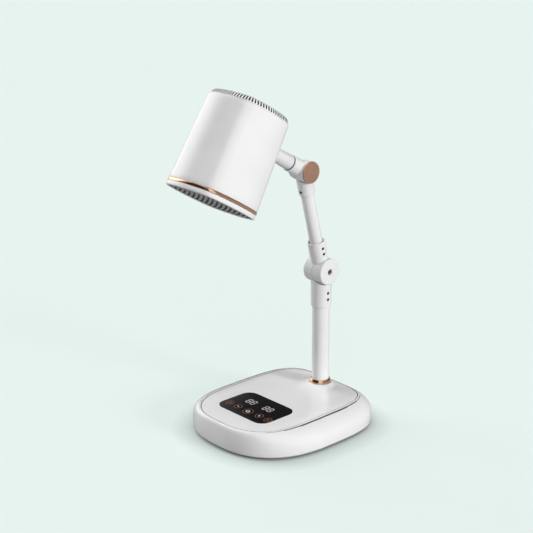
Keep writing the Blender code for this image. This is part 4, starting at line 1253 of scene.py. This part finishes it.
dress(outletSlats, grilleGrey, "head", ["outlet_grille"], place=headPlace, angle=35)
grilleRing = lofted("grilleRing", [headRing(z, inset) for z, inset in (
    (grilleHigh, ringOut), (grilleLow + 0.3, ringOut), (grilleLow, ringOut + 0.3),
    (grilleLow, ringIn - 0.3), (grilleLow + 0.3, ringIn), (grilleHigh, ringIn))], closedLoop=True)
dress(grilleRing, grilleGrey, "head", place=headPlace, angle=40)

neckTube = turned("neckTube", ((8.2, 82), (8.2, 72), (8.25, 70), (9.4, 27.8), (9.2, 27.5), (6.55, 27.5),
                               (6.55, 15.4), (4.8, 15.4), (4.8, 82)), neckPlace, 96, 0)
dress(neckTube, paintWhite, "head", ["neck_tube"])
print("head made")

# finishes of the CAD solids that stay as they are
kept = (
    (blackPlastic, ("bottom_plate", "buzzer", "fan_rotor")),
    (sealGrey, ("display_left", "display_right", "power_transformer", "thermal_cutout")),
    (grilleGrey, ("fan_bracket",)),
    (castIron, ("counterweight",)),
    (boardGreen, ("control_board", "power_board")),
    (brassWire, ("heater_coil_1", "heater_coil_2", "heater_coil_3")),
    (micaBoard, ("air_duct", "heater_frame")),
    (nylonCream, ("post_bush", "elbow_washer", "tilt_washer")),
    (plainSteel, ("post_socket", "post_plug", "post_bolt", "elbow_nut", "tilt_bolt", "neck_nut",
                  "fan_motor", "base_screw_1", "base_screw_2", "base_screw_3", "base_screw_4")),
)
for material, nodeNames in kept:
    for nodeName in nodeNames:
        nodes[nodeName].data.materials.clear()
        nodes[nodeName].data.materials.append(material)
print("kept solids finished")

# studio
studioSettings = {
    "floorTone": (0.805, 0.905, 0.872),
    "floorShare": 0.34,         # part of the floor's tone that takes shadows
    "floorGlow": 0.66,
    "bounce": 0.40,             # the floor's grey in light that reaches the object
    "contactShadowSpread": 0.032,           # how far the painted contact shadow under the base spreads
    "floorHalf": 14,            # metres
    "floorDrop": 0.0002,
    # strength, width, azimuth and elevation in degrees
    "suns": {
        "topSoft": (0.35, 70.0, -60.0, 75.0),
        "keyRight": (2.2, 14.0, 12.0, 18.0),
        "fillLeft": (1.05, 30.0, -160.0, 26.0),
    },
    # azimuth in degrees and brightness, round the walls
    "walls": ((-180, 2.2), (-162, 2.2), (-148, 0.5), (-138, 0.03), (-66, 0.03), (-63, 0.9), (-22, 0.9),
              (-12, 0.35), (45, 0.25), (62, 0.05), (140, 0.07), (165, 1.6), (180, 2.2)),
}
floorMaterial, floorTree = emptyMaterial("studioFloor")
floorOutput = floorTree.nodes.new("ShaderNodeOutputMaterial")
floorOutput.label = "floor surface"
floorShader = floorTree.nodes.new("ShaderNodeBsdfPrincipled")
floorShader.label = "pale paper"
# painted contact shadow: ambient occlusion darkens the floor's glow near the base
paintedContactShadow = floorTree.nodes.new("ShaderNodeAmbientOcclusion")
paintedContactShadow.label = "dark where the base touches"
floorGrey = floorTree.nodes.new("ShaderNodeBsdfDiffuse")
floorGrey.label = "bounce light"
floorPath = floorTree.nodes.new("ShaderNodeLightPath")
floorPath.label = "seen or bounced"
floorMix = floorTree.nodes.new("ShaderNodeMixShader")
floorMix.label = "paper or bounce"
for node, at in ((floorOutput, (700, 0)), (floorMix, (450, 0)), (floorShader, (100, -200)),
                 (floorGrey, (100, 100)), (floorPath, (100, 450)), (paintedContactShadow, (-150, -200))):
    node.location = at
paperTone = [tone * studioSettings["floorShare"] for tone in studioSettings["floorTone"]]
floorShader.inputs["Base Color"].default_value = (*paperTone, 1)
floorShader.inputs["Roughness"].default_value = 0.9
floorShader.inputs["Specular IOR Level"].default_value = 0.0
paintedContactShadow.inputs["Color"].default_value = (*studioSettings["floorTone"], 1)
paintedContactShadow.inputs["Distance"].default_value = studioSettings["contactShadowSpread"]
floorTree.links.new(paintedContactShadow.outputs["Color"], floorShader.inputs["Emission Color"])
floorShader.inputs["Emission Strength"].default_value = studioSettings["floorGlow"]
floorGrey.inputs["Color"].default_value = (*[studioSettings["bounce"]] * 3, 1)
floorTree.links.new(floorPath.outputs["Is Camera Ray"], floorMix.inputs["Fac"])
floorTree.links.new(floorGrey.outputs["BSDF"], floorMix.inputs[1])
floorTree.links.new(floorShader.outputs["BSDF"], floorMix.inputs[2])
floorTree.links.new(floorMix.outputs["Shader"], floorOutput.inputs["Surface"])
floorHalf = studioSettings["floorHalf"]
studioFloor = meshPiece("studioFloor", [(-floorHalf, -floorHalf, 0), (floorHalf, -floorHalf, 0),
                                        (floorHalf, floorHalf, 0), (-floorHalf, floorHalf, 0)],
                        [(0, 1, 2, 3)])
studioFloor.data.transform(Matrix.Translation((0, 0, -studioSettings["floorDrop"])))
studioFloor.data.materials.append(floorMaterial)

world = bpy.data.worlds.new("studioWorld")
bpy.context.scene.world = world
world.use_nodes = True
wallTree = world.node_tree
wallTree.nodes.clear()
wallOutput = wallTree.nodes.new("ShaderNodeOutputWorld")
wallOutput.label = "studio walls"
wallLight = wallTree.nodes.new("ShaderNodeBackground")
wallLight.label = "wall light"
wallBackdrop = wallTree.nodes.new("ShaderNodeBackground")
wallBackdrop.label = "paper backdrop"
wallPath = wallTree.nodes.new("ShaderNodeLightPath")
wallPath.label = "seen or reflected"
wallMix = wallTree.nodes.new("ShaderNodeMixShader")
wallMix.label = "walls or backdrop"
wallWay = wallTree.nodes.new("ShaderNodeTexCoord")
wallWay.label = "direction"
wallTurn = wallTree.nodes.new("ShaderNodeTexGradient")
wallTurn.label = "turn round the room"
wallPanels = wallTree.nodes.new("ShaderNodeValToRGB")
wallPanels.label = "pale panels and dark flags"
for node, at in ((wallOutput, (950, 0)), (wallMix, (700, 0)), (wallLight, (450, 0)),
                 (wallBackdrop, (450, -200)), (wallPath, (450, 350)), (wallWay, (-400, 0)),
                 (wallTurn, (-150, 0)), (wallPanels, (100, 0))):
    node.location = at
wallTurn.gradient_type = "RADIAL"
stops = wallPanels.color_ramp.elements
while len(stops) > 1:
    stops.remove(stops[-1])
for azimuth, brightness in studioSettings["walls"]:
    stop = stops.new((azimuth + 180) / 360)
    stop.color = (brightness, brightness, brightness, 1)
stops.remove(stops[0])
wallTree.links.new(wallWay.outputs["Generated"], wallTurn.inputs["Vector"])
wallTree.links.new(wallTurn.outputs["Color"], wallPanels.inputs["Fac"])
wallTree.links.new(wallPanels.outputs["Color"], wallLight.inputs["Color"])
wallBackdrop.inputs["Color"].default_value = (*studioSettings["floorTone"], 1)
wallTree.links.new(wallPath.outputs["Is Camera Ray"], wallMix.inputs["Fac"])
wallTree.links.new(wallLight.outputs["Background"], wallMix.inputs[1])
wallTree.links.new(wallBackdrop.outputs["Background"], wallMix.inputs[2])
wallTree.links.new(wallMix.outputs["Shader"], wallOutput.inputs["Surface"])
for name, (strength, width, azimuth, elevation) in studioSettings["suns"].items():
    lamp = bpy.data.lights.new(name, "SUN")
    lamp.energy = strength
    lamp.angle = math.radians(width)
    holder = bpy.data.objects.new(name, lamp)
    bpy.context.scene.collection.objects.link(holder)
    holder.rotation_euler = (0, math.radians(90 - elevation), math.radians(azimuth))
    holder.visible_glossy = name == "topSoft"
bpy.context.scene.view_settings.view_transform = "Standard"
print("studio made")
